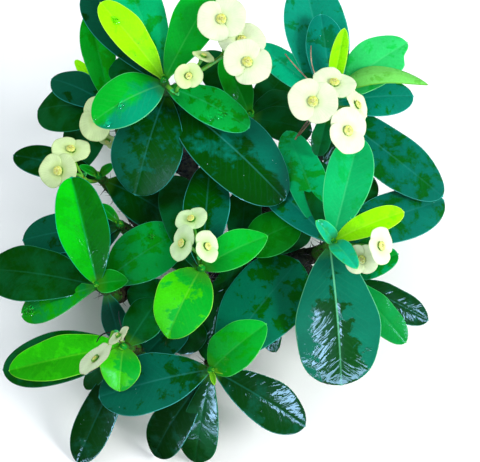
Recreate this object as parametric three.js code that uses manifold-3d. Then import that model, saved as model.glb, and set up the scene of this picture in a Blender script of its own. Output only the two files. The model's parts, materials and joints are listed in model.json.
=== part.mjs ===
// Crown of thorns plant, cut off at the ground. A short woody stump forks into fourteen spiny stems.
// Each stem ends in a leafy shoot, and eight of the shoots carry sprays of pale two-bracted flowers.
// Millimetres, +Z up. The origin is the middle of the stump's flat cut face.
// Left and right are -X and +X, front and back are -Y and +Y.

import * as THREE from "three";
import { mergeVertices } from "three/addons/utils/BufferGeometryUtils.js";
import Module from "manifold-3d";

const wasm = await Module();
wasm.setup();

// Driving sizes: stems
const stumpRadius = 14;
const stumpTopRadius = 10.5;
const stumpHeight = 21;
const limbStart = new THREE.Vector3(4, 0, 12); // out from the stump's axis and up, inside the stump
const limbLean = 0.6; // how far a stem leans out for each millimetre up, as it leaves the stump
const limbRadius = 6.6; // a woody stem where it leaves the stump
const twigRadius = 4.9; // a woody stem where it leaves another stem
const woodyTipRadius = 4.5;
const shootRadius = 4.2; // a leafy shoot at its foot
const shootTipRadius = 2.3;
const budHeight = 2.2;
const budTipRadius = 0.4;
const stemSides = 6;

// Spines stand in pairs beside the leaf scars
const spineLength = 8.5;
const spineRadius = 0.6;
const spineSpacing = 11; // between two pairs along a stem
const spineSplay = 0.45; // radians from the scar to a spine
const spineSlant = 0.35; // towards the stem's tip
const goldenAngle = THREE.MathUtils.degToRad(137.5);

// Leaves
const youngReach = 3.4; // the young leaves grow on this much of a shoot's end
const youngestMature = 3.9; // a leaf that grows lower than this is a mature one
const bladeThickness = 0.8;
const petioleWidth = 2.4;
const petioleThickness = 1.9;
const smallLeafWidth = 12; // narrower leaves have thinner petioles and fewer sections
const largeLeafWidth = 21; // wider leaves have more sections
const tipRoundness = 0.5; // the power that the outline closes with at the tip
const archCentre = 0.42; // where the arch of a leaf is pulled up, along its length

// Flowers
const peduncleRadius = 1.15;
const peduncleReach = 8; // how far a spray's stalk sweeps out from its shoot before it rises
const forkKnobRadius = 1.8; // where a spray's stalk divides
const pedicelRadius = 0.85;
const stalkSides = 5;
const cupRadius = 2.6; // the rim of the yellow-green cup in the middle of a flower
const cupNeckRadius = 1.5;
const cupHeight = 4.6;
const cupAboveBracts = 1.9;
const bractHole = 2.2; // round the neck of the cup
const bractHalfTurn = THREE.MathUtils.degToRad(84); // from the middle of a bract to its edge
const bractOverlap = 1.2; // the step from one bract to the other at their notch
const bractTaper = 0.34; // how much shorter a bract is at its edge than in its middle
const bractLift = 0.07; // of the flower's width

const clearance = 0.3; // between neighbouring pieces

const finishes = {
  bark: { color: 0x6f5c4b, roughness: 0.85 },
  mature: { color: 0x0b5a3c, roughness: 0.32 },
  young: { color: 0x35b526, roughness: 0.38 },
  stalk: { color: 0x9fb84a, roughness: 0.45 },
  bract: { color: 0xf1f6dd, roughness: 0.5 },
};

// One leaf: how far below the shoot's tip it grows, where its own tip is, its width, how high its middle
// arches over the straight line, the angle its halves fold up at, how spoon-like it is (less is rounder),
// and a turn about its length.
function leaf(drop, x, y, z, width, arch, fold, spoon, roll = 0) {
  return { drop, tip: new THREE.Vector3(x, y, z), width, arch, fold, spoon, roll };
}

// One shoot: its name, the stem that its own stem grows from (with how far along), its foot and its tip.
const shoots = [
  {
    name: "back_left", foot: [-29, 66, 83], tip: [-32, 69, 125],
    leaves: [
      leaf(1, -66, 104, 148, 20, 3, 16, 1.0),
      leaf(2.5, -54, 128, 133, 28, 6, 8, 1.0),
      leaf(2, 1, 121, 146, 27, 5, 8, 1.0),
      leaf(6, -71, 48, 115, 30, 6, 4, 0.72),
      leaf(9, 15, 44, 116, 22, 6, -6, 0.8),
      leaf(8, -76, 128, 120, 32, 7, 6, 1.0),
      leaf(12, -63, 87, 105, 21, 5, 5, 0.9),
      leaf(15, -49, 16, 86, 40, 8, -5, 0.75),
      leaf(20, 35, 11, 91, 42, 9, -5, 0.75),
    ],
  },
  {
    name: "back_right", foot: [58, 56, 71], tip: [61, 65, 113],
    leaves: [
      leaf(7, 20, 98, 109, 18, 3, -6, 0.85),
      leaf(9, 47, 132, 118, 37, 6, 18, 0.85),
      leaf(2.5, 55, 108, 127, 22, 4, 6, 0.75),
      leaf(0, 67, 91, 143, 10, 1, 20, 0.8),
      leaf(2.5, 103.5, 93.5, 121, 28, 5, 4, 0.8),
      leaf(1.5, 113.8, 66.2, 124, 16, 13, -10, 0.8, -25),
      leaf(8, 108, 70, 101, 24, 4, -4, 0.8),
      leaf(13, 124, 15, 86, 31.5, 2, -5, 0.74),
      leaf(16, 54, 38, 90, 12, 3, 15, 0.8),
      leaf(24, 69, 40, 56, 18, 4, -4, 0.8),
    ],
  },
  {
    name: "back_low", parent: "back_right", along: 0.4, foot: [12, 67, 45], tip: [16, 68, 81],
    leaves: [
      leaf(2, 0, 95, 99, 17, 3, 10, 0.8),
      leaf(6, -11, 108, 81, 23, 5, -4, 0.8),
      leaf(7, 52, 63, 67, 23, 4, -4, 0.8),
      leaf(9, 41, 86, 67, 17, 4, 0, 0.8),
      leaf(12, 41, 108, 57, 20, 5, 0, 0.8),
      leaf(24, 8, 122, 2, 22, 8, -2, 0.9),
    ],
  },
  {
    name: "far_left", parent: "back_left", along: 0.5, foot: [-59, 67, 57], tip: [-64, 69, 93],
    leaves: [
      leaf(2.5, -76, 116, 113, 19, 4, 10, 0.8),
      leaf(8, -86, 101, 84, 8, 2, 10, 0.8),
      leaf(6, -99, 88, 86, 21, 6, -6, 0.8),
      leaf(9, -109, 77, 66, 33, 7, -6, 0.65),
      leaf(14, -93, 51, 50, 29, 6, -4, 0.85),
      leaf(24, -92, 98, 2, 22, 8, -2, 0.9),
    ],
  },
  {
    name: "left_back", parent: "left_low", along: 0.5, foot: [-61, 31, 45], tip: [-71, 30.5, 79],
    leaves: [
      leaf(8, -122, 49, 65, 20, 5, -5, 0.85),
      leaf(10, -29, 12.5, 57, 31, 6, 4, 0.85),
      leaf(1, -81, 33, 87, 5.5, 1, 20, 0.6),
      leaf(2, -62, 35.5, 83, 6, 1, 20, 0.7),
    ],
  },
  {
    name: "left_front", parent: "left_low", along: 0.3, foot: [-62, -30, 43], tip: [-70, -35, 79],
    leaves: [
      leaf(2, -83, 18, 107, 30, 5, 20, 0.85),
      leaf(1, -52, -34, 83, 14, 2, 15, 0.6),
      leaf(8, -138, -16, 49, 34, 7, -6, 0.9),
      leaf(6, -115, -44, 51, 21, 5, -4, 1.0),
      leaf(7, -24, -3, 76, 33, 7, -4, 0.9),
      leaf(18, -60, -52, 31, 15, 4, -4, 0.8),
      leaf(25, -108, 8, 2, 22, 8, -2, 0.9),
    ],
  },
  {
    name: "left_low", foot: [-53, 9, 37], tip: [-59, 5, 69],
    leaves: [
      leaf(6, -116, 1, 52, 26, 5, -5, 0.8),
      leaf(8, -100, -13, 52, 26, 5, -5, 0.8),
      leaf(2, -70, 15, 73, 7, 1, 20, 0.8),
    ],
  },
  {
    name: "front_left", foot: [-48, -60, 35], tip: [-55, -68, 69],
    leaves: [
      leaf(2, -119, -79, 59, 25, 4, 6, 0.75),
      leaf(7, -125, -74, 42, 31, 5, -4, 0.8),
      leaf(1, -57, -90.5, 58, 22.5, 5, 6, 0.6),
      leaf(8, -36, -38, 61, 23, 3, -4, 0.8),
      leaf(22, -85, -119, 2, 23, 7, -4, 0.95),
      leaf(12, -80, -80, 25, 12, 4, 0, 0.9),
    ],
  },
  {
    name: "front_left_low", foot: [-17, -36, 32], tip: [-19, -44, 58],
    leaves: [
      leaf(6, -43, -66, 46, 25, 4, -4, 0.7),
      leaf(8, -24, -66, 47, 26, 4, -4, 0.7),
      leaf(14, -55, -27, 42, 24, 4, -4, 0.8),
    ],
  },
  {
    name: "middle", foot: [-11, -28, 63], tip: [-11, -34, 105],
    leaves: [
      leaf(2, -29.2, -68.1, 87, 32, 7, 5, 0.62),
      leaf(2.5, 25, -16, 106, 21, 5, 5, 0.75),
      leaf(12, -7, 36, 83, 26, 5, -5, 0.8),
      leaf(17, -29, 36, 65, 27, 5, -4, 0.75),
    ],
  },
  {
    name: "front", foot: [-6, -69, 31], tip: [-6, -81, 67],
    leaves: [
      leaf(2, 24.3, -59, 83, 26, 5, 8, 0.6),
      leaf(7, 43, -17, 67, 44, 5, -4, 1.05),
      leaf(8, 47, -104, 31, 28, 4, -6, 0.95),
      leaf(9, -16, -119, 2, 23, 10, -4, 0.9),
      leaf(13, -40, -115, 2, 25, 10, -4, 0.9),
      leaf(6, -69, -92, 50, 34, 6, -5, 0.8),
      leaf(0, 6.7, -84.1, 71, 3.4, 1, 25, 0.7),
      leaf(0, -4, -89.8, 69.5, 3.6, 1, 25, 0.7),
      leaf(16, 2, -60, 49, 9, 2, 5, 0.8),
    ],
  },
  {
    name: "right", foot: [55, -11, 63], tip: [61, -18, 103],
    leaves: [
      leaf(2.5, 75, 36, 121, 26, 5, 6, 0.95),
      leaf(1, 99, -4, 111, 15, 4, 12, 0.85),
      leaf(1, 51, -10.5, 115, 10, 2, 20, 0.42),
      leaf(1, 72.6, -37.3, 114, 11.5, 2, 14, 0.42),
      leaf(9, 126, 17, 75, 31, 5, -5, 0.85),
      leaf(13, 84, 33, 75, 23, 5, 0, 0.8),
      leaf(8, 53, 38, 82, 20, 4, 5, 0.8),
      leaf(10, 37, 58, 79, 23, 5, -4, 0.8),
      leaf(7, 25, 28, 77, 22, 4, -4, 0.85),
      leaf(11, 67.5, -83, 43, 48, 10, -5, 0.75),
    ],
  },
  {
    name: "right_low", parent: "right", along: 0.4, foot: [65, -20, 37], tip: [72, -27, 69],
    leaves: [
      leaf(2, 98.5, -17, 79, 17, 3, 10, 0.75),
      leaf(9, 105, -58, 43, 19, 3, -5, 0.8),
      leaf(10, 119, -43, 37, 19, 2, -5, 0.9),
      leaf(20, 104, 36, 2, 20, 8, -2, 0.9),
    ],
  },
  {
    name: "middle_low", foot: [9, -13, 38], tip: [10, -12, 72],
    leaves: [
      leaf(2, 44, 1, 83, 26, 4, -4, 0.75),
      leaf(7, 14, 30, 63, 20, 4, 0, 0.8),
      leaf(9, 51, 9, 46, 20, 4, 0, 0.8),
      leaf(8, -32, -10, 50, 20, 4, 0, 0.8),
      leaf(6, -10, -66, 36, 22, 5, -4, 0.8),
      leaf(9, 31, -58, 23, 16, 6, -4, 0.9),
    ],
  },
];

// One flower: the middle of its bracts, its width across both, how far it leans from facing straight up,
// the compass turn it leans towards (0 is right, 90 is back), and the turn of its pair of bracts.
function flower(x, y, z, width, lean, towards, spin) {
  return { centre: new THREE.Vector3(x, y, z), width, lean, towards, spin };
}

// One spray: the shoot it grows from, how far below the tip, where it forks, and its flowers.
const sprays = [
  {
    name: "back_left_small", shoot: "back_left", drop: 4.6, fork: [-25, 60, 128],
    flowers: [flower(-18, 64, 140, 16, 30, -60, 10), flower(-10, 74, 142, 14, 45, 60, 60)],
  },
  {
    name: "back_left_large", shoot: "back_left", drop: 12.5, fork: [1, 84, 126],
    flowers: [
      flower(0, 94, 148, 27, 16, -90, 20),
      flower(14, 67, 150, 27, 8, -80, -40),
      flower(11, 84, 141.5, 26, 10, 40, 10),
    ],
  },
  {
    name: "back_right", shoot: "back_right", drop: 4.5, fork: [60, 51, 124],
    flowers: [
      flower(49, 46, 146, 27, 18, -95, -15),
      flower(61, 60, 138, 24, 22, 75, -30),
      flower(67.2, 31.8, 139, 26, 30, -20, 80),
      flower(72.8, 49.8, 132, 21, 52, 15, 40),
    ],
  },
  {
    name: "right", shoot: "right", drop: 6, fork: [88, -20, 100],
    flowers: [flower(76, -29, 105, 19, 20, -110, 0), flower(85, -24.5, 113.6, 21, 44, -10, 65)],
  },
  {
    name: "middle", shoot: "middle", drop: 5, fork: [-12, -28, 110],
    flowers: [
      flower(-16, -10, 115, 18, 25, 130, 10),
      flower(-20, -26, 122, 20, 45, 180, 70),
      flower(-8, -29, 125, 18, 40, 0, 80),
    ],
  },
  {
    name: "left_back", shoot: "left_back", drop: 5, fork: [-79, 27, 86],
    flowers: [flower(-91, 26, 97, 23, 25, 220, 0), flower(-85.4, 40, 93, 22, 22, 80, -8)],
  },
  {
    name: "far_left", shoot: "far_left", drop: 4.5, fork: [-66, 58, 94],
    flowers: [flower(-70, 57, 99, 26, 35, 215, 60), flower(-64.5, 47, 92, 13, 72, 250, 150)],
  },
  {
    name: "front_left", shoot: "front_left", drop: 5, fork: [-60, -62, 75],
    flowers: [flower(-67.3, -81, 88.5, 26, 55, 140, 140), flower(-55.2, -68.8, 92, 14, 55, 140, 20)],
  },
];

// Joining and cutting

function solidOf(geometry) {
  geometry.deleteAttribute("normal");
  geometry.deleteAttribute("uv");
  const merged = mergeVertices(geometry, 1e-4);
  const corners = merged.index.array;
  const triangles = [];
  for (let i = 0; i < corners.length; i += 3) {
    const [a, b, c] = [corners[i], corners[i + 1], corners[i + 2]];
    if (a !== b && b !== c && c !== a) triangles.push(a, b, c);
  }
  return new wasm.Manifold(new wasm.Mesh({
    numProp: 3,
    vertProperties: merged.attributes.position.array,
    triVerts: Uint32Array.from(triangles),
  }));
}

function joined(solids) {
  return solids.reduce((sum, next) => sum.add(next));
}

function meshOf(name, solid, finish) {
  const mesh = solid.getMesh();
  const geometry = new THREE.BufferGeometry();
  geometry.setAttribute("position", new THREE.Float32BufferAttribute(mesh.vertProperties, 3));
  geometry.setIndex(Array.from(mesh.triVerts));
  geometry.computeVertexNormals();
  const material = new THREE.MeshStandardMaterial({ ...finishes[finish], metalness: 0 });
  const node = new THREE.Mesh(geometry, material);
  node.name = name;
  return node;
}

// Stems and stalks

// A round limb along a curve. Its rings, each a place along the curve and a radius, are turned on a lathe
// as a rod of height 1 and then carried onto the curve.
function limb(curve, rings, sides) {
  const profile = [[0, 0], ...rings.map(([along, radius]) => [radius, along]), [0, 1]];
  const geometry = new THREE.LatheGeometry(profile.map((point) => new THREE.Vector2(...point)), sides);
  const level = new THREE.Vector3(0, 0, 1).cross(curve.getTangentAt(1));
  let aside = level.lengthSq() > 0.01 ? level : new THREE.Vector3(1, 0, 0);
  const frames = new Map();
  for (const along of [0, ...rings.map(([place]) => place), 1]) {
    const forward = curve.getTangentAt(along);
    aside = aside.clone().addScaledVector(forward, -aside.dot(forward)).normalize();
    const above = aside.clone().cross(forward);
    frames.set(Math.fround(along), { place: curve.getPointAt(along), across: aside, above });
  }
  const points = geometry.attributes.position;
  for (let i = 0; i < points.count; i += 1) {
    const { place, across, above } = frames.get(points.getY(i));
    const moved = place.clone().addScaledVector(across, points.getX(i));
    moved.addScaledVector(above, points.getZ(i));
    points.setXYZ(i, moved.x, moved.y, moved.z);
  }
  return solidOf(geometry);
}

// Rings at even steps, with a radius for each step.
function evenRings(steps, radiusAt) {
  return Array.from({ length: steps + 1 }, (_, i) => [i / steps, radiusAt(i / steps)]);
}

// A pair of spines stands beside every leaf scar, the scars winding round the stem by the golden angle.
function spinesAlong(curve, radiusAt, blocked) {
  const length = curve.getLength();
  const count = Math.floor(length / spineSpacing);
  const spines = [];
  for (let scar = 0; scar < count; scar += 1) {
    const along = (scar + 0.6) / count;
    const centre = curve.getPointAt(along);
    const forward = curve.getTangentAt(along);
    const aside = new THREE.Vector3(0, 0, 1).cross(forward);
    if (aside.lengthSq() < 0.01) aside.set(1, 0, 0);
    aside.normalize();
    for (const splay of [-spineSplay, spineSplay]) {
      const outward = aside.clone().applyAxisAngle(forward, scar * goldenAngle + splay);
      const direction = outward.clone().addScaledVector(forward, spineSlant).normalize();
      const sunk = radiusAt(along) * 0.5;
      const size = sunk + spineLength * (0.8 + 0.4 * ((scar * 0.618) % 1));
      const root = centre.clone().addScaledVector(outward, sunk);
      const spine = spineSolid(root, direction, size, spineRadius);
      const keepOut = spineSolid(root, direction, size + 1, spineRadius + clearance);
      if (!blocked(keepOut)) spines.push(spine);
      keepOut.delete();
    }
  }
  return spines;
}

function spineSolid(root, direction, size, radius) {
  const cone = new THREE.ConeGeometry(radius, size, 3);
  cone.translate(0, size / 2, 0);
  cone.applyQuaternion(new THREE.Quaternion().setFromUnitVectors(new THREE.Vector3(0, 1, 0), direction));
  cone.translate(root.x, root.y, root.z);
  return solidOf(cone);
}

// Leaves and bracts

// A thin blade along a curve. Its six-point section (left, middle and right, above and below) folds at the
// rib, and every stretch between two sections is split the same way on both faces.
function blade(path, side, halfWidthAt, thicknessAt, fold, stations) {
  const across = [-1, 0, 1];
  const corners = [];
  stations.forEach((t) => {
    const middle = path.getPoint(t);
    const above = side.clone().cross(path.getTangent(t)).normalize();
    for (const face of [1, -1]) {
      for (const c of across) {
        const point = middle.clone().addScaledVector(side, c * halfWidthAt(t) * Math.cos(fold));
        point.addScaledVector(above, Math.abs(c) * halfWidthAt(t) * Math.sin(fold));
        point.addScaledVector(above, face * thicknessAt(t) * (c === 0 ? 0.5 : 0.4));
        corners.push(point.x, point.y, point.z);
      }
    }
  });
  const [topLeft, top, topRight, lowLeft, low, lowRight] = [0, 1, 2, 3, 4, 5];
  const quads = [
    [topLeft, top], [top, topRight], [topRight, lowRight],
    [lowRight, low], [low, lowLeft], [lowLeft, topLeft],
  ];
  const triangles = [];
  for (let s = 0; s + 1 < stations.length; s += 1) {
    for (const [a, b] of quads) {
      const [near, nearNext, far, farNext] = [s * 6 + a, s * 6 + b, s * 6 + 6 + a, s * 6 + 6 + b];
      const under = a >= lowLeft && b >= lowLeft;
      if (under) triangles.push(near, nearNext, far, nearNext, farNext, far);
      else triangles.push(near, nearNext, farNext, near, farNext, far);
    }
  }
  const end = (stations.length - 1) * 6;
  triangles.push(topLeft, lowLeft, low, topLeft, low, top, top, low, lowRight, top, lowRight, topRight);
  triangles.push(end + lowLeft, end + topLeft, end + low, end + low, end + topLeft, end + top);
  triangles.push(end + low, end + top, end + lowRight, end + lowRight, end + top, end + topRight);
  const geometry = new THREE.BufferGeometry();
  geometry.setAttribute("position", new THREE.Float32BufferAttribute(corners, 3));
  geometry.setIndex(triangles);
  return solidOf(geometry);
}

// Sections lie closer together towards the rounded end.
function stationsFor(count) {
  return Array.from({ length: count + 1 }, (_, i) => 1 - (1 - i / count) ** 1.55);
}

function leafSolid(root, leafShape) {
  const { tip, width, arch, fold, spoon, roll } = leafShape;
  const chord = tip.clone().sub(root);
  const side = new THREE.Vector3(chord.y, -chord.x, 0).normalize();
  side.applyAxisAngle(chord.clone().normalize(), THREE.MathUtils.degToRad(roll));
  const rise = side.clone().cross(chord).normalize();
  const bend = root.clone().lerp(tip, archCentre).addScaledVector(rise, 2 * arch);
  const path = new THREE.QuadraticBezierCurve3(root, bend, tip);
  const widest = spoon / (spoon + tipRoundness);
  const outlineAt = (t) => t ** spoon * (1 - t) ** tipRoundness;
  const petiole = (petioleWidth / 2) * Math.min(1, width / smallLeafWidth);
  const halfWidthAt = (t) => {
    const outline = (width / 2) * outlineAt(t) / outlineAt(widest);
    return Math.max(outline, t < widest ? petiole : 0.5);
  };
  const thicknessAt = (t) => THREE.MathUtils.lerp(petioleThickness, bladeThickness, Math.min(1, t * 3));
  const sections = 3 + (width >= smallLeafWidth) + (width >= largeLeafWidth);
  return blade(path, side, halfWidthAt, thicknessAt, THREE.MathUtils.degToRad(fold), stationsFor(sections));
}

// Two broad round bracts round the hole for the cup. They share a notch on either side, where one is laid
// a little over the other, and both lift slightly towards their edges.
function bractPair(bloom, facing, along) {
  const across = facing.clone().cross(along);
  const fan = [-1, -0.75, -0.4, 0, 0.4, 0.75, 1];
  const rim = [];
  for (const way of [0, 1]) {
    for (const turn of fan) {
      const reach = 0.5 * bloom.width * (1 - bractTaper * Math.abs(turn) ** 4);
      const step = (way - 0.5) * bractOverlap * Math.abs(turn);
      const lift = bractLift * bloom.width * (1 - 0.6 * turn * turn) + step;
      rim.push({ angle: Math.PI * way + turn * bractHalfTurn, reach, lift });
    }
  }
  const rings = [
    (spot) => ({ out: bractHole, up: 0.3 * spot.lift }),
    (spot) => ({ out: spot.reach, up: spot.lift }),
  ];
  const corners = [];
  for (const face of [0.5, -0.5]) {
    for (const ring of rings) {
      for (const spot of rim) {
        const { out, up } = ring(spot);
        const point = bloom.centre.clone().addScaledVector(along, out * Math.cos(spot.angle));
        point.addScaledVector(across, out * Math.sin(spot.angle));
        point.addScaledVector(facing, up + face * bladeThickness);
        corners.push(point.x, point.y, point.z);
      }
    }
  }
  const count = rim.length;
  const [innerTop, outerTop, innerLow, outerLow] = [0, count, 2 * count, 3 * count];
  const walls = [[innerTop, outerTop], [outerTop, outerLow], [outerLow, innerLow], [innerLow, innerTop]];
  const triangles = [];
  for (let i = 0; i < count; i += 1) {
    const next = (i + 1) % count;
    for (const [from, to] of walls) {
      if (from === outerLow) triangles.push(from + i, to + i, from + next, from + next, to + i, to + next);
      else triangles.push(from + i, to + i, to + next, from + i, to + next, from + next);
    }
  }
  const geometry = new THREE.BufferGeometry();
  geometry.setAttribute("position", new THREE.Float32BufferAttribute(corners, 3));
  geometry.setIndex(triangles);
  return solidOf(geometry);
}

// A flower's own stalk, from the fork up to the small yellow-green cup that passes through its bracts.
function flowerStalk(bloom, facing, fork, forkLine) {
  const top = bloom.centre.clone().addScaledVector(facing, cupAboveBracts);
  const reach = top.distanceTo(fork) * 0.4;
  const heading = top.clone().sub(fork).normalize().add(forkLine).normalize();
  const curve = new THREE.CubicBezierCurve3(
    fork, fork.clone().addScaledVector(heading, reach), top.clone().addScaledVector(facing, -reach), top,
  );
  const cupStart = 1 - cupHeight / curve.getLength();
  const rings = [
    [0, pedicelRadius], [cupStart / 2, pedicelRadius], [cupStart, pedicelRadius + 0.2],
    [(1 + cupStart) / 2, cupNeckRadius], [1, cupRadius],
  ];
  return limb(curve, rings, stalkSides);
}

// Assembly

const stems = new Map();
const shootAxes = new Map();

function shootAxis(shoot) {
  const foot = new THREE.Vector3(...shoot.foot);
  const tip = new THREE.Vector3(...shoot.tip);
  return { foot, tip, along: tip.clone().sub(foot).normalize(), length: tip.distanceTo(foot) };
}

// A woody stem bends from the stump, or from the stem it grows on, into the line of its shoot.
function woodyStem(shoot) {
  if (stems.has(shoot.name)) return stems.get(shoot.name);
  const axis = shootAxes.get(shoot.name);
  const end = axis.foot.clone().addScaledVector(axis.along, -clearance);
  const level = new THREE.Vector3(end.x, end.y, 0).normalize();
  let start = new THREE.Vector3(0, 0, limbStart.z).addScaledVector(level, limbStart.x);
  let heading = level.clone().multiplyScalar(limbLean).add(new THREE.Vector3(0, 0, 1)).normalize();
  let radius = limbRadius;
  if (shoot.parent) {
    const parent = woodyStem(shoots.find((other) => other.name === shoot.parent));
    start = parent.curve.getPointAt(shoot.along);
    heading = parent.curve.getTangentAt(shoot.along);
    radius = twigRadius;
  }
  const reach = start.distanceTo(end) * 0.36;
  const leaving = start.clone().addScaledVector(heading, reach);
  const arriving = end.clone().addScaledVector(axis.along, -reach);
  const curve = new THREE.CubicBezierCurve3(start, leaving, arriving, end);
  const radiusAt = (t) => THREE.MathUtils.lerp(radius, woodyTipRadius, t ** 0.7);
  const stem = { curve, radiusAt };
  stems.set(shoot.name, stem);
  return stem;
}

function stump() {
  const profile = [
    [0, 0], [stumpRadius, 0], [stumpRadius - 0.6, 6], [stumpTopRadius + 0.8, 13],
    [stumpTopRadius, stumpHeight - 4], [stumpTopRadius - 3.5, stumpHeight], [0, stumpHeight + 1],
  ].map(([radius, height]) => new THREE.Vector2(radius, height));
  const geometry = new THREE.LatheGeometry(profile, 10);
  geometry.rotateX(Math.PI / 2);
  return solidOf(geometry);
}

for (const shoot of shoots) shootAxes.set(shoot.name, shootAxis(shoot));

// The leafy shoots: the young leaves with the shoot's end, and the mature leaves with the rest of it.
const pieces = [];
for (const shoot of shoots) {
  const axis = shootAxes.get(shoot.name);
  const radiusAt = (drop) => THREE.MathUtils.lerp(shootTipRadius, shootRadius, drop / axis.length);
  const spot = (drop) => axis.tip.clone().addScaledVector(axis.along, -drop);
  const leafSolids = (leaves) => leaves.map((one) => {
    const outward = one.tip.clone().sub(spot(one.drop));
    outward.addScaledVector(axis.along, -outward.dot(axis.along)).normalize();
    const sunkRoot = spot(one.drop).addScaledVector(outward, 0.3 * radiusAt(one.drop));
    return leafSolid(sunkRoot, one);
  });
  const bud = [[0, radiusAt(youngReach)], [0.6, shootTipRadius], [1, budTipRadius]];
  const youngStem = limb(new THREE.LineCurve3(spot(youngReach), spot(-budHeight)), bud, stemSides);
  const line = new THREE.LineCurve3(axis.foot, spot(youngReach + clearance));
  const matureRadiusAt = (t) => radiusAt((1 - t) * (axis.length - youngReach) + youngReach);
  const matureStem = limb(line, evenRings(2, matureRadiusAt), stemSides);
  const young = shoot.leaves.filter((one) => one.drop < youngestMature);
  const mature = shoot.leaves.filter((one) => one.drop >= youngestMature);
  pieces.push({
    name: `${shoot.name}_young_leaves`, finish: "young", solid: joined([youngStem, ...leafSolids(young)]),
  });
  pieces.push({
    name: `${shoot.name}_mature_leaves`, finish: "mature", line, radiusAt: matureRadiusAt,
    solid: mature.length ? joined([matureStem, ...leafSolids(mature)]) : matureStem,
  });
}

// The flower sprays: one node for the stalks and cups, one for each flower's pair of bracts.
for (const spray of sprays) {
  const axis = shootAxes.get(spray.shoot);
  const root = axis.tip.clone().addScaledVector(axis.along, -spray.drop);
  const fork = new THREE.Vector3(...spray.fork);
  const outward = fork.clone().sub(root);
  outward.addScaledVector(axis.along, -outward.dot(axis.along)).normalize();
  const sweep = root.clone().addScaledVector(outward, peduncleReach).addScaledVector(axis.along, 2);
  const belowFork = fork.clone().addScaledVector(axis.along, -4);
  const peduncle = new THREE.CubicBezierCurve3(root, sweep, belowFork, fork);
  const knob = new THREE.IcosahedronGeometry(forkKnobRadius);
  knob.translate(fork.x, fork.y, fork.z);
  const parts = [limb(peduncle, evenRings(4, () => peduncleRadius), stalkSides), solidOf(knob)];
  spray.flowers.forEach((bloom, index) => {
    const towards = THREE.MathUtils.degToRad(bloom.towards);
    const lean = THREE.MathUtils.degToRad(bloom.lean);
    const facing = new THREE.Vector3(
      Math.sin(lean) * Math.cos(towards), Math.sin(lean) * Math.sin(towards), Math.cos(lean),
    );
    const spin = THREE.MathUtils.degToRad(bloom.spin);
    const along = new THREE.Vector3(Math.cos(spin), Math.sin(spin), 0);
    along.addScaledVector(facing, -along.dot(facing)).normalize();
    parts.push(flowerStalk(bloom, facing, fork, axis.along));
    pieces.push({
      name: `${spray.name}_bracts_${index + 1}`, finish: "bract", solid: bractPair(bloom, facing, along),
    });
  });
  const shootRings = evenRings(2, (t) => THREE.MathUtils.lerp(shootRadius, shootTipRadius, t) + clearance);
  const shootBody = limb(new THREE.LineCurve3(axis.foot, axis.tip), shootRings, stemSides);
  const stalks = joined(parts).subtract(shootBody);
  pieces.push({ name: `${spray.name}_flower_stalks`, finish: "stalk", solid: stalks });
}

// The woody stem: stump and branches in one piece.
const woodParts = [stump()];
const woodyStems = shoots.map((shoot) => woodyStem(shoot));
for (const stem of woodyStems) woodParts.push(limb(stem.curve, evenRings(5, stem.radiusAt), stemSides));
const wood = { name: "woody_stem", finish: "bark", solid: joined(woodParts) };
pieces.push(wood);

// Spines, left off where a leaf or a stalk already grows through their place.
function blockedFor(own) {
  return (spine) => pieces.some((piece) => {
    if (piece === own) return false;
    const overlap = piece.solid.intersect(spine);
    const hit = !overlap.isEmpty();
    overlap.delete();
    return hit;
  });
}

function addSpines(piece, curve, radiusAt) {
  const spines = spinesAlong(curve, radiusAt, blockedFor(piece));
  piece.solid = joined([piece.solid, ...spines]);
}

for (const stem of woodyStems) addSpines(wood, stem.curve, stem.radiusAt);
for (const piece of pieces.filter((one) => one.line)) addSpines(piece, piece.line, piece.radiusAt);

const plant = new THREE.Group();
for (const piece of pieces) plant.add(meshOf(piece.name, piece.solid, piece.finish));

export default plant;
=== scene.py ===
# A crown of thorns plant, cut at the foot and standing on its stump: the looks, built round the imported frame.
# Sizes are in millimetres up to makeMesh, which turns them into metres.
import json
import math
import bpy
import numpy as np
from functools import partial
from mathutils import Matrix, Vector

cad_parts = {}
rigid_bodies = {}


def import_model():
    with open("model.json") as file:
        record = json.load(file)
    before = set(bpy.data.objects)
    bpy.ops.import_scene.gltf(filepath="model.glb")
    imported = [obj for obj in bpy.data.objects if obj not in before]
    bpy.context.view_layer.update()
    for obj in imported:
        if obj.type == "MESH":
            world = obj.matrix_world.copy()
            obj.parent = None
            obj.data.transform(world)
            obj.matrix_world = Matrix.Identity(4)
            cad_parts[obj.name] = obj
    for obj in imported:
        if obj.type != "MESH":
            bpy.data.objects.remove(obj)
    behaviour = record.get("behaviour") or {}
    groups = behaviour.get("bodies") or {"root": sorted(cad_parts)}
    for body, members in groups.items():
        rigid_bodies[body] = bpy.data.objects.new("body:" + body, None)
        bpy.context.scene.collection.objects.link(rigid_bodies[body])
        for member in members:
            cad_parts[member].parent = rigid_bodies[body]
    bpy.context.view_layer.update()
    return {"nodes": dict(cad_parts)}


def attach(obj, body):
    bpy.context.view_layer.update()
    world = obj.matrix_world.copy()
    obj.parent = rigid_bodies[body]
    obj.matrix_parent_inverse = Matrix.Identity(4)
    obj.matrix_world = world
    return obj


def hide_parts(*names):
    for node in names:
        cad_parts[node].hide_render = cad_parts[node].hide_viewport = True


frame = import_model()
scene = bpy.context.scene
metres = 0.001
perMetre = 1 / metres
goldenAngle = math.radians(137.5)
print("frame loaded:", len(frame["nodes"]), "nodes")


def linearColour(hexValue):
    channels = [int(hexValue[i:i + 2], 16) / 255 for i in (1, 3, 5)]
    return [c / 12.92 if c <= 0.04045 else ((c + 0.055) / 1.055) ** 2.4 for c in channels] + [1]


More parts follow.
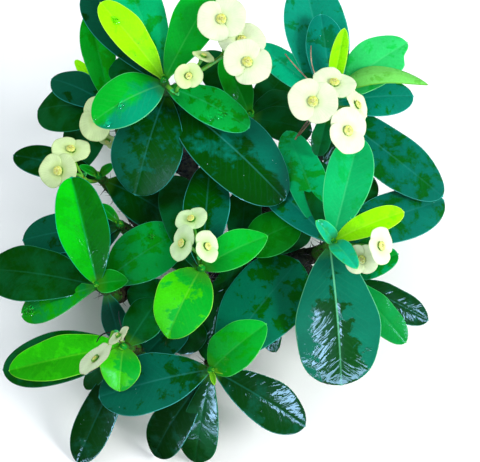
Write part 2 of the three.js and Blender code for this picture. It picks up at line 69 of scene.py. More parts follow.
def fillInputs(tree, node, inputs):
    # a name has _ for each space; a value is a socket to link, a hex colour or a plain value
    for name, value in inputs.items():
        socket = node.inputs[name.replace("_", " ") if isinstance(name, str) else name]
        if isinstance(value, bpy.types.NodeSocket):
            tree.links.new(value, socket)
        elif isinstance(value, str) and value.startswith("#"):
            socket.default_value = linearColour(value)
        else:
            socket.default_value = value


def addNode(tree, kind, *values, output=0, **named):
    # a word after the kind is its operation; values fill the inputs in order, or by number from a dictionary,
    # capitalised names are inputs too and the others settings; gives one output, or all of them for None
    kind, *operation = kind.split()
    prefixes = ("ShaderNode", "GeometryNode", "FunctionNode", "Node")
    node = tree.nodes.new(next(prefix + kind for prefix in prefixes if hasattr(bpy.types, prefix + kind)))
    if operation:
        node.operation = operation[0]
    for name, value in named.items():
        if name[0].islower():
            setattr(node, name, value)
    inputs = values[0] if values and isinstance(values[0], dict) else dict(enumerate(values))
    fillInputs(tree, node, inputs | {name: value for name, value in named.items() if name[0].isupper()})
    return node.outputs if output is None else node.outputs[output]


def newTree(name, **inputs):
    # an empty Geometry Nodes tree with named inputs and a material; gives it, those inputs and its addNode
    tree = bpy.data.node_groups.new(name, "GeometryNodeTree")
    tree.interface.new_socket("Geometry", in_out="OUTPUT", socket_type="NodeSocketGeometry")
    tree.interface.new_socket("Geometry", in_out="INPUT", socket_type="NodeSocketGeometry")
    for label, value in inputs.items():
        kind = "NodeSocketInt" if isinstance(value, int) else "NodeSocketFloat"
        socket = tree.interface.new_socket(label.replace("_", " "), in_out="INPUT", socket_type=kind)
        socket.default_value = value
    tree.interface.new_socket("Material", in_out="INPUT", socket_type="NodeSocketMaterial")
    add = partial(addNode, tree)
    return tree, add("GroupInput", output=None), add


def closeTree(tree, given, add, geometry):
    smooth = add("SetShadeSmooth", add("RealizeInstances", geometry))
    add("GroupOutput", add("SetMaterial", smooth, Material=given["Material"]), output=None)
    return tree


def grow(name, source, tree, material, slot, *nodes, **values):
    # runs a tree on a scratch object and keeps the result as a piece with a plain mesh
    values["Material"] = material
    modifier = source.modifiers.new(name, "NODES")
    modifier.node_group = tree
    for item in tree.interface.items_tree:
        label = item.name.replace(" ", "_")
        if item.in_out == "INPUT" and label in values:
            modifier[item.identifier] = values[label]
    bpy.context.view_layer.update()
    ready = source.evaluated_get(bpy.context.evaluated_depsgraph_get())
    mesh = bpy.data.meshes.new_from_object(ready)
    bpy.data.objects.remove(source)
    mesh.name = name
    finishPiece(place(name, mesh), slot, *nodes)


def place(name, mesh):
    piece = bpy.data.objects.new(name, mesh)
    scene.collection.objects.link(piece)
    return piece


def makeMesh(name, points, faces=(), edges=(), skins=(), skinOfFace=None, fields=None, smooth=True):
    mesh = bpy.data.meshes.new(name)
    mesh.from_pydata((np.asarray(points) * metres).tolist(), list(edges), list(faces))
    for skin in skins:
        mesh.materials.append(skin)
    if skinOfFace is not None:
        mesh.polygons.foreach_set("material_index", np.asarray(skinOfFace, np.int32))
    for label, values in (fields or {}).items():
        values = np.asarray(values, np.float32)
        vector = values.ndim == 2
        field = mesh.attributes.new(label, "FLOAT_VECTOR" if vector else "FLOAT", "POINT")
        field.data.foreach_set("vector" if vector else "value", values.ravel())
    if smooth and len(faces):
        mesh.polygons.foreach_set("use_smooth", np.ones(len(mesh.polygons), bool))
    mesh.update()
    return place(name, mesh)


class Batch:
    # gathers shapes that become one mesh
    def __init__(self):
        self.points, self.faces, self.edges, self.skins, self.faceSkins, self.fields = [], [], [], [], [], {}

    def add(self, points, faces=(), skin=None, edges=(), **fields):
        first = sum(len(block) for block in self.points)
        self.points.append(np.asarray(points, float))
        self.faces += [tuple(first + i for i in face) for face in faces]
        self.edges += [(first + a, first + b) for a, b in edges]
        if skin is not None:
            if skin not in self.skins:
                self.skins.append(skin)
            self.faceSkins += [self.skins.index(skin)] * len(faces)
        for label, values in fields.items():
            self.fields.setdefault(label, []).append(np.asarray(values, float))

    def make(self, name):
        fields = {label: np.concatenate(blocks) for label, blocks in self.fields.items()}
        return makeMesh(name, np.concatenate(self.points), self.faces, self.edges, self.skins,
                        self.faceSkins or None, fields)


def finishPiece(piece, slot, *nodes):
    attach(piece, "root")
    if nodes:
        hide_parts(*nodes)


def startSkin(name):
    # a new material with its own addNode and the place on the object that its patterns read
    skin = bpy.data.materials.new(name)
    skin.use_nodes = True
    add = partial(addNode, skin.node_tree)
    return skin, add, add("TexCoord", output="Object")


def setShader(skin, **inputs):
    fillInputs(skin.node_tree, skin.node_tree.nodes["Principled BSDF"], inputs)
    return skin


def splitField(add, name):
    # the three numbers that a mesh carries at each point under this name
    return add("SeparateXYZ", add("Attribute", attribute_name=name, output="Vector"), output=None)


def layered(add, colour, *layers):
    # lays colours over the first one, each where its amount says
    for amount, over in layers:
        colour = add("Mix", {0: amount, 6: colour, 7: over}, output=2, data_type="RGBA")
    return colour


def mottledSkin(name, colours, blotch=(7.0, 4.0), span=(0.38, 0.62), grain=(0.9, 3.0), rough=(0.38, 0.62),
                bump=(0.6, 0.25), scars=None, scar=(2.2, 3.0), scarSpan=(0.56, 0.68), specular=0.3, **more):
    # two colours in blotches, with scars of a third and a fine grain; blotch, grain and scar are a noise's
    # size in mm and its detail, and the bump is its strength and its depth in mm
    skin, add, where = startSkin(name)
    patches = add("TexNoise", Vector=where, Scale=perMetre / blotch[0], Detail=blotch[1])
    fine = add("TexNoise", Vector=where, Scale=perMetre / grain[0], Detail=grain[1])
    colour = layered(add, colours[0], (add("MapRange", patches, *span), colours[1]))
    if scars:
        rust = add("TexNoise", Vector=where, Scale=perMetre / scar[0], Detail=scar[1])
        colour = layered(add, colour, (add("MapRange", rust, *scarSpan, 0.0, scars[1]), scars[0]))
    if bump:
        more["Normal"] = add("Bump", Strength=bump[0], Distance=metres * bump[1], Height=fine)
    return setShader(skin, Base_Color=colour, Roughness=add("MapRange", fine, 0.0, 1.0, *rough),
                     Specular_IOR_Level=specular, **more)


def unit(vector):
    return np.asarray(vector, float) / np.linalg.norm(vector)


def unitRows(vectors):
    return vectors / np.linalg.norm(vectors, axis=1)[:, None]


def lerp(a, b, t):
    return a + (b - a) * t


def smoothstep(low, high, value):
    t = np.clip((value - low) / (high - low), 0, 1)
    return t * t * (3 - 2 * t)


def bezier(controls, t):
    # points of a Bezier curve with any number of controls
    t = np.atleast_1d(t)[:, None]
    points = [np.broadcast_to(np.asarray(c, float), (len(t), 3)) for c in controls]
    while len(points) > 1:
        points = [a + (b - a) * t for a, b in zip(points, points[1:])]
    return points[0]


def ringFaces(rings, around):
    # quads between closed rings of points, then the two ends closed onto the two last points
    faces, foot, last = [], rings * around, (rings - 1) * around
    for k in range(around):
        n = (k + 1) % around
        for r in range(0, last, around):
            faces.append((r + k, r + around + k, r + around + n, r + n))
        faces.append((foot, k, n))
        faces.append((foot + 1, last + n, last + k))
    return faces


def leaf(tone, drop, x, y, z, width, arch, fold, spoon=0.8, roll=0, roundness=0.5, bite=None, notch=0):
    # drop is how far below the shoot's tip the leaf leaves it, and x, y, z is where the leaf ends
    return dict(tone=tone, drop=drop, tip=(x, y, z), width=width, arch=arch, fold=fold, spoon=spoon,
                roll=roll, roundness=roundness, bite=bite, notch=notch)


def flower(x, y, z, width, lean, towards, spin):
    return dict(centre=(x, y, z), width=width, lean=lean, towards=towards, spin=spin)


# the same places as the solids, so that each fine piece stays inside the solid it stands for
shoots = {
    "back_left": dict(foot=(-29, 66, 83), tip=(-32, 69, 125), leaves=[
        leaf("lime", 1, -66, 104, 148, 20, 3, 16, 1.0),
        leaf("jade", 2.5, -54, 128, 133, 28, 6, 8, 1.0),
        leaf("bright", 2, 1, 121, 146, 27, 5, 8, 1.0),
        leaf("freshTeal", 6, -71, 48, 115, 30, 6, 4, 0.72, roundness=0.55),
        leaf("jadeWet", 9, 15, 44, 116, 22, 6, -6),
        leaf("deepTeal", 8, -76, 128, 120, 32, 7, 6, 1.0),
        leaf("deep", 12, -63, 87, 105, 21, 5, 5, 0.9),
        leaf("mottled", 15, -49, 16, 86, 40, 8, -5, 0.75),
        leaf("wideMottled", 20, 35, 11, 91, 42, 9, -5, 0.75),
    ]),
    "back_right": dict(foot=(58, 56, 71), tip=(61, 65, 113), leaves=[
        leaf("mint", 7, 20, 98, 109, 18, 3, -6, 0.85),
        leaf("tealFold", 9, 47, 132, 118, 37, 6, 18, 0.85),
        leaf("tealWet", 2.5, 55, 108, 127, 22, 4, 6, 0.75),
        leaf("lime", 0, 67, 91, 143, 10, 1, 20),
        leaf("springGreen", 2.5, 103.5, 93.5, 121, 28, 5, 4, bite=(1, 0.94, 0.08, 0.42)),
        leaf("limeUnder", 1.5, 113.8, 66.2, 124, 16, 13, -10, roll=-25, roundness=0.8),
        leaf("teal", 8, 108, 70, 101, 24, 4, -4),
        leaf("mottledTeal", 13, 124, 15, 86, 31.5, 2, -5, 0.74),
        leaf("deep", 16, 54, 38, 90, 12, 3, 15),
        leaf("deep", 24, 69, 40, 56, 18, 4, -4),
    ]),
    "back_low": dict(foot=(12, 67, 45), tip=(16, 68, 81), parent="back_right", along=0.4, leaves=[
        leaf("leafGreen", 2, 0, 95, 99, 17, 3, 10),
        leaf("deep", 6, -11, 108, 81, 23, 5, -4),
        leaf("deep", 7, 52, 63, 67, 23, 4, -4),
        leaf("deep", 9, 41, 86, 67, 17, 4, 0),
        leaf("deep", 12, 41, 108, 57, 20, 5, 0),
        leaf("deepGreen", 24, 8, 122, 2, 22, 8, -2, 0.9),
    ]),
    "far_left": dict(foot=(-59, 67, 57), tip=(-64, 69, 93), parent="back_left", along=0.5, leaves=[
        leaf("grass", 2.5, -76, 116, 113, 19, 4, 10),
        leaf("lime", 8, -86, 101, 84, 8, 2, 10),
        leaf("deepTeal", 6, -99, 88, 86, 21, 6, -6),
        leaf("deepGreen", 9, -109, 77, 66, 33, 7, -6, 0.65),
        leaf("deep", 14, -93, 51, 50, 29, 6, -4, 0.85),
        leaf("deepGreen", 24, -92, 98, 2, 22, 8, -2, 0.9),
    ]),
    "left_back": dict(foot=(-61, 31, 45), tip=(-71, 30.5, 79), parent="left_low", along=0.5, leaves=[
        leaf("darkWet", 8, -122, 49, 65, 20, 5, -5, 0.85),
        leaf("darkWet", 10, -29, 12.5, 57, 31, 6, 4, 0.85),
        leaf("leafGreen", 1, -81, 33, 87, 5.5, 1, 20, 0.6),
        leaf("leafGreen", 2, -62, 35.5, 83, 6, 1, 20, 0.7),
    ]),
    "left_front": dict(foot=(-62, -30, 43), tip=(-70, -35, 79), parent="left_low", along=0.3, leaves=[
        leaf("vivid", 2, -83, 18, 107, 30, 5, 20, 0.85),
        leaf("leafGreen", 1, -52, -34, 83, 14, 2, 15, 0.6, roundness=0.72),
        leaf("deepGreen", 8, -138, -16, 49, 34, 7, -6, 0.9),
        leaf("wetGreen", 6, -115, -44, 51, 21, 5, -4, 1.0, notch=2.2),
        leaf("mossWet", 7, -24, -3, 76, 33, 7, -4, 0.9),
        leaf("deepTeal", 18, -60, -52, 31, 15, 4, -4),
        leaf("deepGreen", 25, -108, 8, 2, 22, 8, -2, 0.9),
    ]),
    "left_low": dict(foot=(-53, 9, 37), tip=(-59, 5, 69), leaves=[
        leaf("deepTeal", 6, -116, 1, 52, 26, 5, -5),
        leaf("deepTeal", 8, -100, -13, 52, 26, 5, -5),
        leaf("leafGreen", 2, -70, 15, 73, 7, 1, 20),
    ]),
    "front_left": dict(foot=(-48, -60, 35), tip=(-55, -68, 69), leaves=[
        leaf("limeGreen", 2, -119, -79, 59, 25, 4, 6, 0.75, roundness=0.6),
        leaf("deep", 7, -125, -74, 42, 31, 5, -4),
        leaf("yellowGreen", 1, -57, -90.5, 58, 22.5, 5, 6, 0.6, roundness=0.7),
        leaf("deepGreen", 8, -36, -38, 61, 23, 3, -4),
        leaf("darkWet", 22, -85, -119, 2, 23, 7, -4, 0.95),
        leaf("deep", 12, -80, -80, 25, 12, 4, 0, 0.9),
    ]),
    "front_left_low": dict(foot=(-17, -36, 32), tip=(-19, -44, 58), leaves=[
        leaf("deepTeal", 6, -43, -66, 46, 25, 4, -4, 0.7),
        leaf("deepGreen", 8, -24, -66, 47, 26, 4, -4, 0.7),
        leaf("deep", 14, -55, -27, 42, 24, 4, -4),
    ]),
    "middle": dict(foot=(-11, -28, 63), tip=(-11, -34, 105), leaves=[
        leaf("yellowGreen", 2, -29.2, -68.1, 87, 32, 7, 5, 0.62, roundness=0.7),
        leaf("bright", 2.5, 25, -16, 106, 21, 5, 5, 0.75, roundness=0.72),
        leaf("mottled", 12, -7, 36, 83, 26, 5, -5),
        leaf("deep", 17, -29, 36, 65, 27, 5, -4, 0.75),
    ]),
    "front": dict(foot=(-6, -69, 31), tip=(-6, -81, 67), leaves=[
        leaf("bright", 2, 24.3, -59, 83, 26, 5, 8, 0.6, roundness=0.62),
        leaf("roundTeal", 7, 43, -17, 67, 44, 5, -4, 1.05),
        leaf("darkWet", 8, 47, -104, 31, 28, 4, -6, 0.95),
        leaf("deepGreen", 9, -16, -119, 2, 23, 10, -4, 0.9),
        leaf("darkWet", 13, -40, -115, 2, 25, 10, -4, 0.9),
        leaf("speckled", 6, -69, -92, 50, 34, 6, -5),
        leaf("limeBud", 0, 6.7, -84.1, 71, 3.4, 1, 25, 0.7),
        leaf("limeBud", 0, -4, -89.8, 69.5, 3.6, 1, 25, 0.7),
        leaf("leafGreen", 16, 2, -60, 49, 9, 2, 5),
    ]),
    "right": dict(foot=(55, -11, 63), tip=(61, -18, 103), leaves=[
        leaf("coolSpring", 2.5, 75, 36, 121, 26, 5, 6, 0.95),
        leaf("lime", 1, 99, -4, 111, 15, 4, 12, 0.85),
        leaf("paleMint", 1, 51, -10.5, 115, 10, 2, 20, 0.42),
        leaf("paleMint", 1, 72.6, -37.3, 114, 11.5, 2, 14, 0.42),
        leaf("mottledTeal", 9, 126, 17, 75, 31, 5, -5, 0.85),
        leaf("deep", 13, 84, 33, 75, 23, 5, 0),
        leaf("deep", 8, 53, 38, 82, 20, 4, 5),
        leaf("jade", 10, 37, 58, 79, 23, 5, -4),
        leaf("teal", 7, 25, 28, 77, 22, 4, -4, 0.85),
        leaf("greatTeal", 11, 67.5, -83, 43, 48, 10, -5, 0.75, roundness=0.43),
    ]),
    "right_low": dict(foot=(65, -20, 37), tip=(72, -27, 69), parent="right", along=0.4, leaves=[
        leaf("jade", 2, 98.5, -17, 79, 17, 3, 10, 0.75),
        leaf("plainGreen", 9, 105, -58, 43, 19, 3, -5),
        leaf("darkWet", 10, 119, -43, 37, 19, 2, -5, 0.9),
        leaf("deepGreen", 20, 104, 36, 2, 20, 8, -2, 0.9),
    ]),
    "middle_low": dict(foot=(9, -13, 38), tip=(10, -12, 72), leaves=[
        leaf("leafGreen", 2, 44, 1, 83, 26, 4, -4, 0.75),
        leaf("deep", 7, 14, 30, 63, 20, 4, 0),
        leaf("deep", 9, 51, 9, 46, 20, 4, 0),
        leaf("deep", 8, -32, -10, 50, 20, 4, 0),
        leaf("deep", 6, -10, -66, 36, 22, 5, -4),
        leaf("deep", 9, 31, -58, 23, 16, 6, -4, 0.9),
    ]),
}
sprays = {
    "back_left_small": dict(shoot="back_left", drop=4.6, fork=(-25, 60, 128), flowers=[
        flower(-18, 64, 140, 16, 30, -60, 10),
        flower(-10, 74, 142, 14, 45, 60, 60),
    ]),
    "back_left_large": dict(shoot="back_left", drop=12.5, fork=(1, 84, 126), flowers=[
        flower(0, 94, 148, 27, 16, -90, 20),
        flower(14, 67, 150, 27, 8, -80, -40),
        flower(11, 84, 141.5, 26, 10, 40, 10),
    ]),
    "back_right": dict(shoot="back_right", drop=4.5, fork=(60, 51, 124), flowers=[
        flower(49, 46, 146, 27, 18, -95, -15),
        flower(61, 60, 138, 24, 22, 75, -30),
        flower(67.2, 31.8, 139, 26, 30, -20, 80),
        flower(72.8, 49.8, 132, 21, 52, 15, 40),
    ]),
    "right": dict(shoot="right", drop=6, fork=(88, -20, 100), flowers=[
        flower(76, -29, 105, 19, 20, -110, 0),
        flower(85, -24.5, 113.6, 21, 44, -10, 65),
    ]),
    "middle": dict(shoot="middle", drop=5, fork=(-12, -28, 110), flowers=[
        flower(-16, -10, 115, 18, 25, 130, 10),
        flower(-20, -26, 122, 20, 45, 180, 70),
        flower(-8, -29, 125, 18, 40, 0, 80),
    ]),
    "left_back": dict(shoot="left_back", drop=5, fork=(-79, 27, 86), flowers=[
        flower(-91, 26, 97, 23, 25, 220, 0),
        flower(-85.4, 40, 93, 22, 22, 80, -8),
    ]),
    "far_left": dict(shoot="far_left", drop=4.5, fork=(-66, 58, 94), flowers=[
        flower(-70, 57, 99, 26, 35, 215, 60),
        flower(-64.5, 47, 92, 13, 72, 250, 150),
    ]),
    "front_left": dict(shoot="front_left", drop=5, fork=(-60, -62, 75), flowers=[
        flower(-67.3, -81, 88.5, 26, 55, 140, 140),
        flower(-55.2, -68.8, 92, 14, 55, 140, 20),
    ]),
}

stemForm = {
    "shootRadius": 4.2, "shootTipRadius": 2.3, "budHeight": 2.6, "youngDrop": 3.9, "limbStart": (4, 0, 12),
    "limbLean": 0.6, "limbRadius": 6.6, "twigRadius": 4.9, "woodyTipRadius": 4.5, "stumpSides": 64,
    "stumpProfile": [(14, 0), (13.7, 3), (13.2, 7), (12.2, 11), (10.9, 16), (9.4, 18.8), (7, 21), (3.6, 22)],
    "budProfile": [(2.3, -3.5), (2.35, -1.2), (2.2, 0.2), (1.7, 1.3), (0.9, 2.1), (0.3, 2.45)],
    "budSides": 16, "stumpRings": 26, "limbPoints": 41, "limbSink": 1.2, "limbSweep": 0.36, "limbTaper": 0.7,
    "shootPoints": 24, "shootSink": 0.6, "baldPoints": 4,
}


def along(shoot):
    return unit(np.subtract(shoot["tip"], shoot["foot"]))


def spot(shoot, drop):
    return np.asarray(shoot["tip"], float) - along(shoot) * drop


def shootLength(shoot):
    return np.linalg.norm(np.subtract(shoot["tip"], shoot["foot"]))


def shootRadius(shoot, drop):
    return lerp(stemForm["shootTipRadius"], stemForm["shootRadius"], drop / shootLength(shoot))


def outwards(shoot, drop, target):
    # from the shoot's line towards a point, square to the shoot
    way = np.subtract(target, spot(shoot, drop))
    return unit(way - along(shoot) * np.dot(way, along(shoot)))


leafForm = {
    "stations": 30,
    "columns": [0, 0.05, 0.12, 0.22, 0.35, 0.5, 0.65, 0.79, 0.9, 0.965, 0.992, 1],
    "blade": 0.75, "margin": 0.42, "petiole": 1.9, "petioleWidth": 2.4, "petioleTaper": 3.2,
    "groove": 0.22, "grooveWidth": 0.7, "keel": 0.5, "keelWidth": 0.8, "quilt": 0.3,
    "wave": 0.45, "waveTurns": (1.4, 2.6), "wavyEdge": 0.02, "mucro": 0.6, "archCentre": 0.42,
    "edgePoint": 0.96,
}


def leafOutline(shape, t):
    # half the leaf's width along its length, with a slim petiole before the widest place
    widest = shape["spoon"] / (shape["spoon"] + shape["roundness"])
    swell, full = (at ** shape["spoon"] * (1 - at) ** shape["roundness"] for at in (t, widest))
    half = shape["width"] / 2 * swell / full
    slim = leafForm["petioleWidth"] / 2 * min(1, shape["width"] / 12)
    return np.where(t < widest, (half ** 4 + slim ** 4) ** 0.25, half)


def leafMesh(shape, root, seed):
    # one leaf blade: closed, thin, folded and arched, with a sunk midrib above and a keel below
    form = leafForm
    random = np.random.RandomState(seed)
    tip, root = np.asarray(shape["tip"], float), np.asarray(root, float)
    chord = tip - root
    length = np.linalg.norm(chord)
    turn = Matrix.Rotation(math.radians(shape["roll"]), 3, Vector(chord))
    side = np.array(turn @ Vector(unit((chord[1], -chord[0], 0))))
    rise = unit(np.cross(side, chord))
    t = 1 - (1 - np.linspace(0, 1, form["stations"] + 1)) ** 2
    centre = bezier([root, lerp(root, tip, form["archCentre"]) + rise * 2 * shape["arch"], tip], t)
    tangent = unitRows(np.gradient(centre, axis=0))
    above = unitRows(np.cross(side, tangent))

    right = np.array(form["columns"])
    c = np.concatenate([-right[:0:-1], right])            # across the upper face
    ring = np.concatenate([c, c[-2:0:-1]])                # and back across the lower one
    upper = np.arange(len(ring)) < len(c)
    reach, way = np.abs(ring), np.sign(ring)
    half = leafOutline(shape, t)[:, None] * np.ones(len(ring))
    t = t[:, None]
    cycles, phase = random.uniform(*form["waveTurns"]), random.uniform(0, 1, 2)
    ripple = np.sin(2 * math.pi * (cycles * t + np.where(way > 0, phase[0], phase[1])))
    half = half * (1 + form["wavyEdge"] * ripple * np.abs(ring))
    if shape["bite"]:
        hand, at, span, depth = shape["bite"]
        half = half * (1 - np.where(way == hand, depth, 0) * np.exp(-((t - at) / span) ** 4))
    across = ring * half
    fold = math.radians(shape["fold"])
    crease = (np.sqrt(reach ** 2 + 0.012) - 0.11) / 0.902      # a sharp fold, softened at the midrib
    thinned = np.minimum(1, form["petioleTaper"] * t)
    thick = np.maximum(form["blade"], lerp(form["petiole"], form["blade"], thinned))
    thick = lerp(thick, form["margin"], reach ** 2 * smoothstep(0.05, 0.3, t)) / 2
    edge = np.sqrt(1 - (np.clip(reach - form["edgePoint"], 0, 1) / (1 - form["edgePoint"])) ** 2)
    spread = smoothstep(0.08, 0.35, t)
    wide = spread * np.minimum(1, half / 9)
    lift = np.sin(fold) * crease * half
    lift = lift + form["quilt"] * np.sin(math.pi * reach) * wide + form["wave"] * reach ** 2 * ripple * wide
    groove = form["groove"] * np.exp(-(across / form["grooveWidth"]) ** 2) * spread
    keel = form["keel"] * np.exp(-(across / form["keelWidth"]) ** 2) * spread * (1 - 0.6 * t)
    lift = lift + np.where(upper, thick * edge - groove, -thick * edge - keel)
    pull = shape["notch"] * (1 - reach ** 0.7) * smoothstep(0.8, 1, t)
    points = (centre[:, None] + side * (across * math.cos(fold))[..., None] + above[:, None] * lift[..., None]
              - tangent[:, None] * pull[..., None])
    point = tip + tangent[-1] * (form["mucro"] * min(1, shape["width"] / 14) - shape["notch"])
    rim = np.minimum((1 - reach) * half, (1 - t) * length)
    blank = 0 * rim
    leafPlace = np.stack([across, t * length + blank, np.where(upper, rim, -rim - 0.01)], -1)
    leafShare = np.stack([ring + blank, t + blank, random.uniform(0, 1) + blank], -1)

    def closed(rows, *ends):
        return np.concatenate([rows[:-1].reshape(-1, 3), ends])

    return dict(points=closed(points, centre[0], point), faces=ringFaces(form["stations"], len(ring)),
                leafPlace=closed(leafPlace, (0, 0, 0.5), (0, length, 0)),
                leafShare=closed(leafShare, (0, 0, 0.5), (0, 1, 0.5)))


def budMesh(centre, axis):
    # the closed dome at a shoot's tip, wrapped by its last scales
    aside = unit(np.cross(axis, (1, 0.2, 0)))
    other = np.cross(axis, aside)
    around, profile = stemForm["budSides"], stemForm["budProfile"]
    rings = []
    for radius, height in profile:
        for k in range(around):
            turn = 2 * math.pi * k / around
            wide = radius * (1 + 0.05 * math.cos(3 * turn))
            rings.append(centre + axis * height + (aside * math.cos(turn) + other * math.sin(turn)) * wide)
    points = np.array(rings + [centre + axis * profile[0][1], centre + axis * stemForm["budHeight"]])
    flat = np.zeros((len(points), 3))
    return dict(points=points, faces=ringFaces(len(profile), around), leafPlace=flat + (0, 20, 5),
                leafShare=flat + (0, 0.5, 0.5))


# What each kind of leaf gives the eye. dry is the waxy upper face, whose blue-green on the teal leaves is
# partly the wax bloom and partly a painted sheen, the sky's reflection off the wax, and wet the same face
# under a film of water; share is how much of it is wet, and side, tip and rib lean the wet patches to one
# side, to the tip or to a band along the leaf. halves darkens the right half (or with a minus the left) as
# painted shade, the shade on the half of a folded leaf turned from the light; rim is the paler colour of
# the midrib and veins, also painted along the edges as a highlight; ribShow is how clearly the midrib
# stands out, marks how many pale blue-white specks are painted on the leaf as glints of light on water,
# film how strongly the wet patches shine, and beads how many drops lie on the leaf and how wide the widest
# is from its middle, in millimetres.
leafTones = {
    "lime": dict(dry="#92F200", wet="#82E600", rim="#C6FF4A", share=0.15, foot=0.55, beads=(2, 2.4)),
    "limeUnder": dict(dry="#6CCB58", wet="#5CBB40", rim="#5A9A02", share=0.2, halves=-0.12, foot=0.95),
    "limeGreen": dict(dry="#22B400", wet="#2AC400", rim="#8BE03A", share=0.3, halves=-0.35, film=0.5),
    "limeBud": dict(dry="#4E9A10", wet="#4A9008", rim="#A6E03A", share=0.2),
    "yellowGreen": dict(dry="#02AE24", wet="#38CC00", rim="#9BEF4A", share=0.45, tip=0.14, side=0.16,
                        patch=9, foot=0.6, film=0.15),
    "bright": dict(dry="#01A427", wet="#02A20D", rim="#5ADC6A", share=0.3, halves=0.1, patch=12),
    "vivid": dict(dry="#00B400", wet="#00AA00", rim="#10A890", share=0.3, halves=0.66, patch=14),
    "leafGreen": dict(dry="#008410", wet="#007A00", rim="#3CC860", share=0.35, patch=12),
    "grass": dict(dry="#00B01E", wet="#0A9C00", rim="#2FA860", share=0.4, patch=12),
    "springGreen": dict(dry="#2CC060", wet="#14B844", rim="#7CF09A", share=0.3, halves=0.06, patch=14),
    "coolSpring": dict(dry="#0AB060", wet="#02AA4C", rim="#6CE69A", share=0.3, halves=0.12, patch=14),
    "paleMint": dict(dry="#10B283", wet="#1CA864", rim="#5CE06A", share=0.25),
    "mint": dict(dry="#00D29A", wet="#00B46A", rim="#5CDCC0", share=0.12, patch=9, paintedGlints=0.4),
    "freshTeal": dict(dry="#009468", wet="#00B126", rim="#7CE8A0", share=0.5, side=0.3, tip=0.2,
                      patch=16, edge=0.1, beads=(3, 2.3)),
    "jade": dict(dry="#00A862", wet="#009424", rim="#3CC88C", share=0.3, patch=12),
    "jadeWet": dict(dry="#009936", wet="#008106", rim="#3CC890", share=0.3, patch=6, tip=0.1,
                    beads=(3, 2.4)),
    "tealFold": dict(dry="#068A6C", wet="#00763A", rim="#5AC8B8", share=0.25, patch=12),
    "teal": dict(dry="#007A62", wet="#006A15", rim="#46BEB4", share=0.3, patch=9),
    "tealWet": dict(dry="#007862", wet="#006438", rim="#3CB4A8", share=0.3, patch=9, paintedGlints=0.8),
    "mossWet": dict(dry="#009037", wet="#008509", rim="#3CB48C", share=0.4, patch=12, beads=(6, 2.2)),
    "mottled": dict(dry="#005840", wet="#004700", rim="#40B4B0", share=0.6, side=-0.12, tip=0.1, rib=0.12,
                    edge=0.05, film=0.04),
    "mottledTeal": dict(dry="#006854", wet="#005A10", rim="#40B4A8", share=0.42, patch=10, edge=0.05,
                        paintedGlints=0.2),
    "wideMottled": dict(dry="#006A54", wet="#004400", rim="#40B0A8", share=0.6, side=0.2, tip=0.05,
                        rib=0.15, patch=14, edge=0.06, ribShow=0.3, paintedGlints=0.2),
    "roundTeal": dict(dry="#007150", wet="#006005", rim="#3CAAA0", share=0.2, patch=9, tip=0.3),
    "speckled": dict(dry="#005D46", wet="#004A0A", rim="#46B4AE", share=0.3, tip=-0.2, paintedGlints=0.5),
    "greatTeal": dict(dry="#006C50", wet="#004600", rim="#6ED29A", share=0.5, tip=0.5, rib=0.5,
                      band=0.14, patch=9, ribShow=0.75, edge=0.035),
    "deepTeal": dict(dry="#004F36", wet="#003C06", rim="#2A9A90", share=0.25, patch=12, paintedGlints=0.15),
    "deepGreen": dict(dry="#00521F", wet="#004600", rim="#28966E", share=0.45, patch=14, edge=0.08),
    "darkWet": dict(dry="#004A2C", wet="#003A00", rim="#2A9686", share=0.8, patch=12, edge=0.07, paintedGlints=0.2),
    "wetGreen": dict(dry="#008C32", wet="#0B9600", rim="#46BE5A", share=0.5, patch=9, edge=0.06,
                     beads=(4, 2.2)),
    "plainGreen": dict(dry="#008E3C", wet="#008C30", rim="#46BE5A", share=0.35, patch=14, edge=0.1,
                       film=0.3),
    "deep": dict(dry="#005A28", wet="#004D05", rim="#1E7854", share=0.5, patch=14, edge=0.08),
}

leafSkin = {
    # what a tone may give for itself
    "patch": 8.0, "edge": 0.03, "side": 0.0, "tip": 0.0, "rib": 0.0, "band": 0.0, "halves": 0.0, "foot": 0.8,
    "ribShow": 0.15, "paintedGlints": 0.0, "film": 1.0,
    # the same for all leaves
    "rough": 0.5, "filmRough": 0.06, "specular": 0.08, "veinSpacing": 4.2, "veinSlope": 0.9, "veinShow": 0.02,
    "paintedEdgeHighlight": 0.7, "paintedGlintSpacing": 2.0, "paintedGlintShow": 0.6, "paintedGlintColour": "#B4E6F0", "under": "#4F9A58",
    "underShow": 0.35, "petiole": "#4A9A1E", "petioleShow": 0.55, "ripple": 0.6, "waves": 5.5, "flow": 0.5,
    "apart": 90.0,
    # the size in mm and the detail of each noise, and how far each layer rises in mm
    "noises": {"cloud": (22, 3.0), "bloom": (1.1, 3.0), "drift": (7, 1.0), "soft": (3, 2.0)},
    "rises": {"rib": -0.08, "vein": -0.03, "film": 0.05, "bloom": 0.04, "soft": 0.16},
}


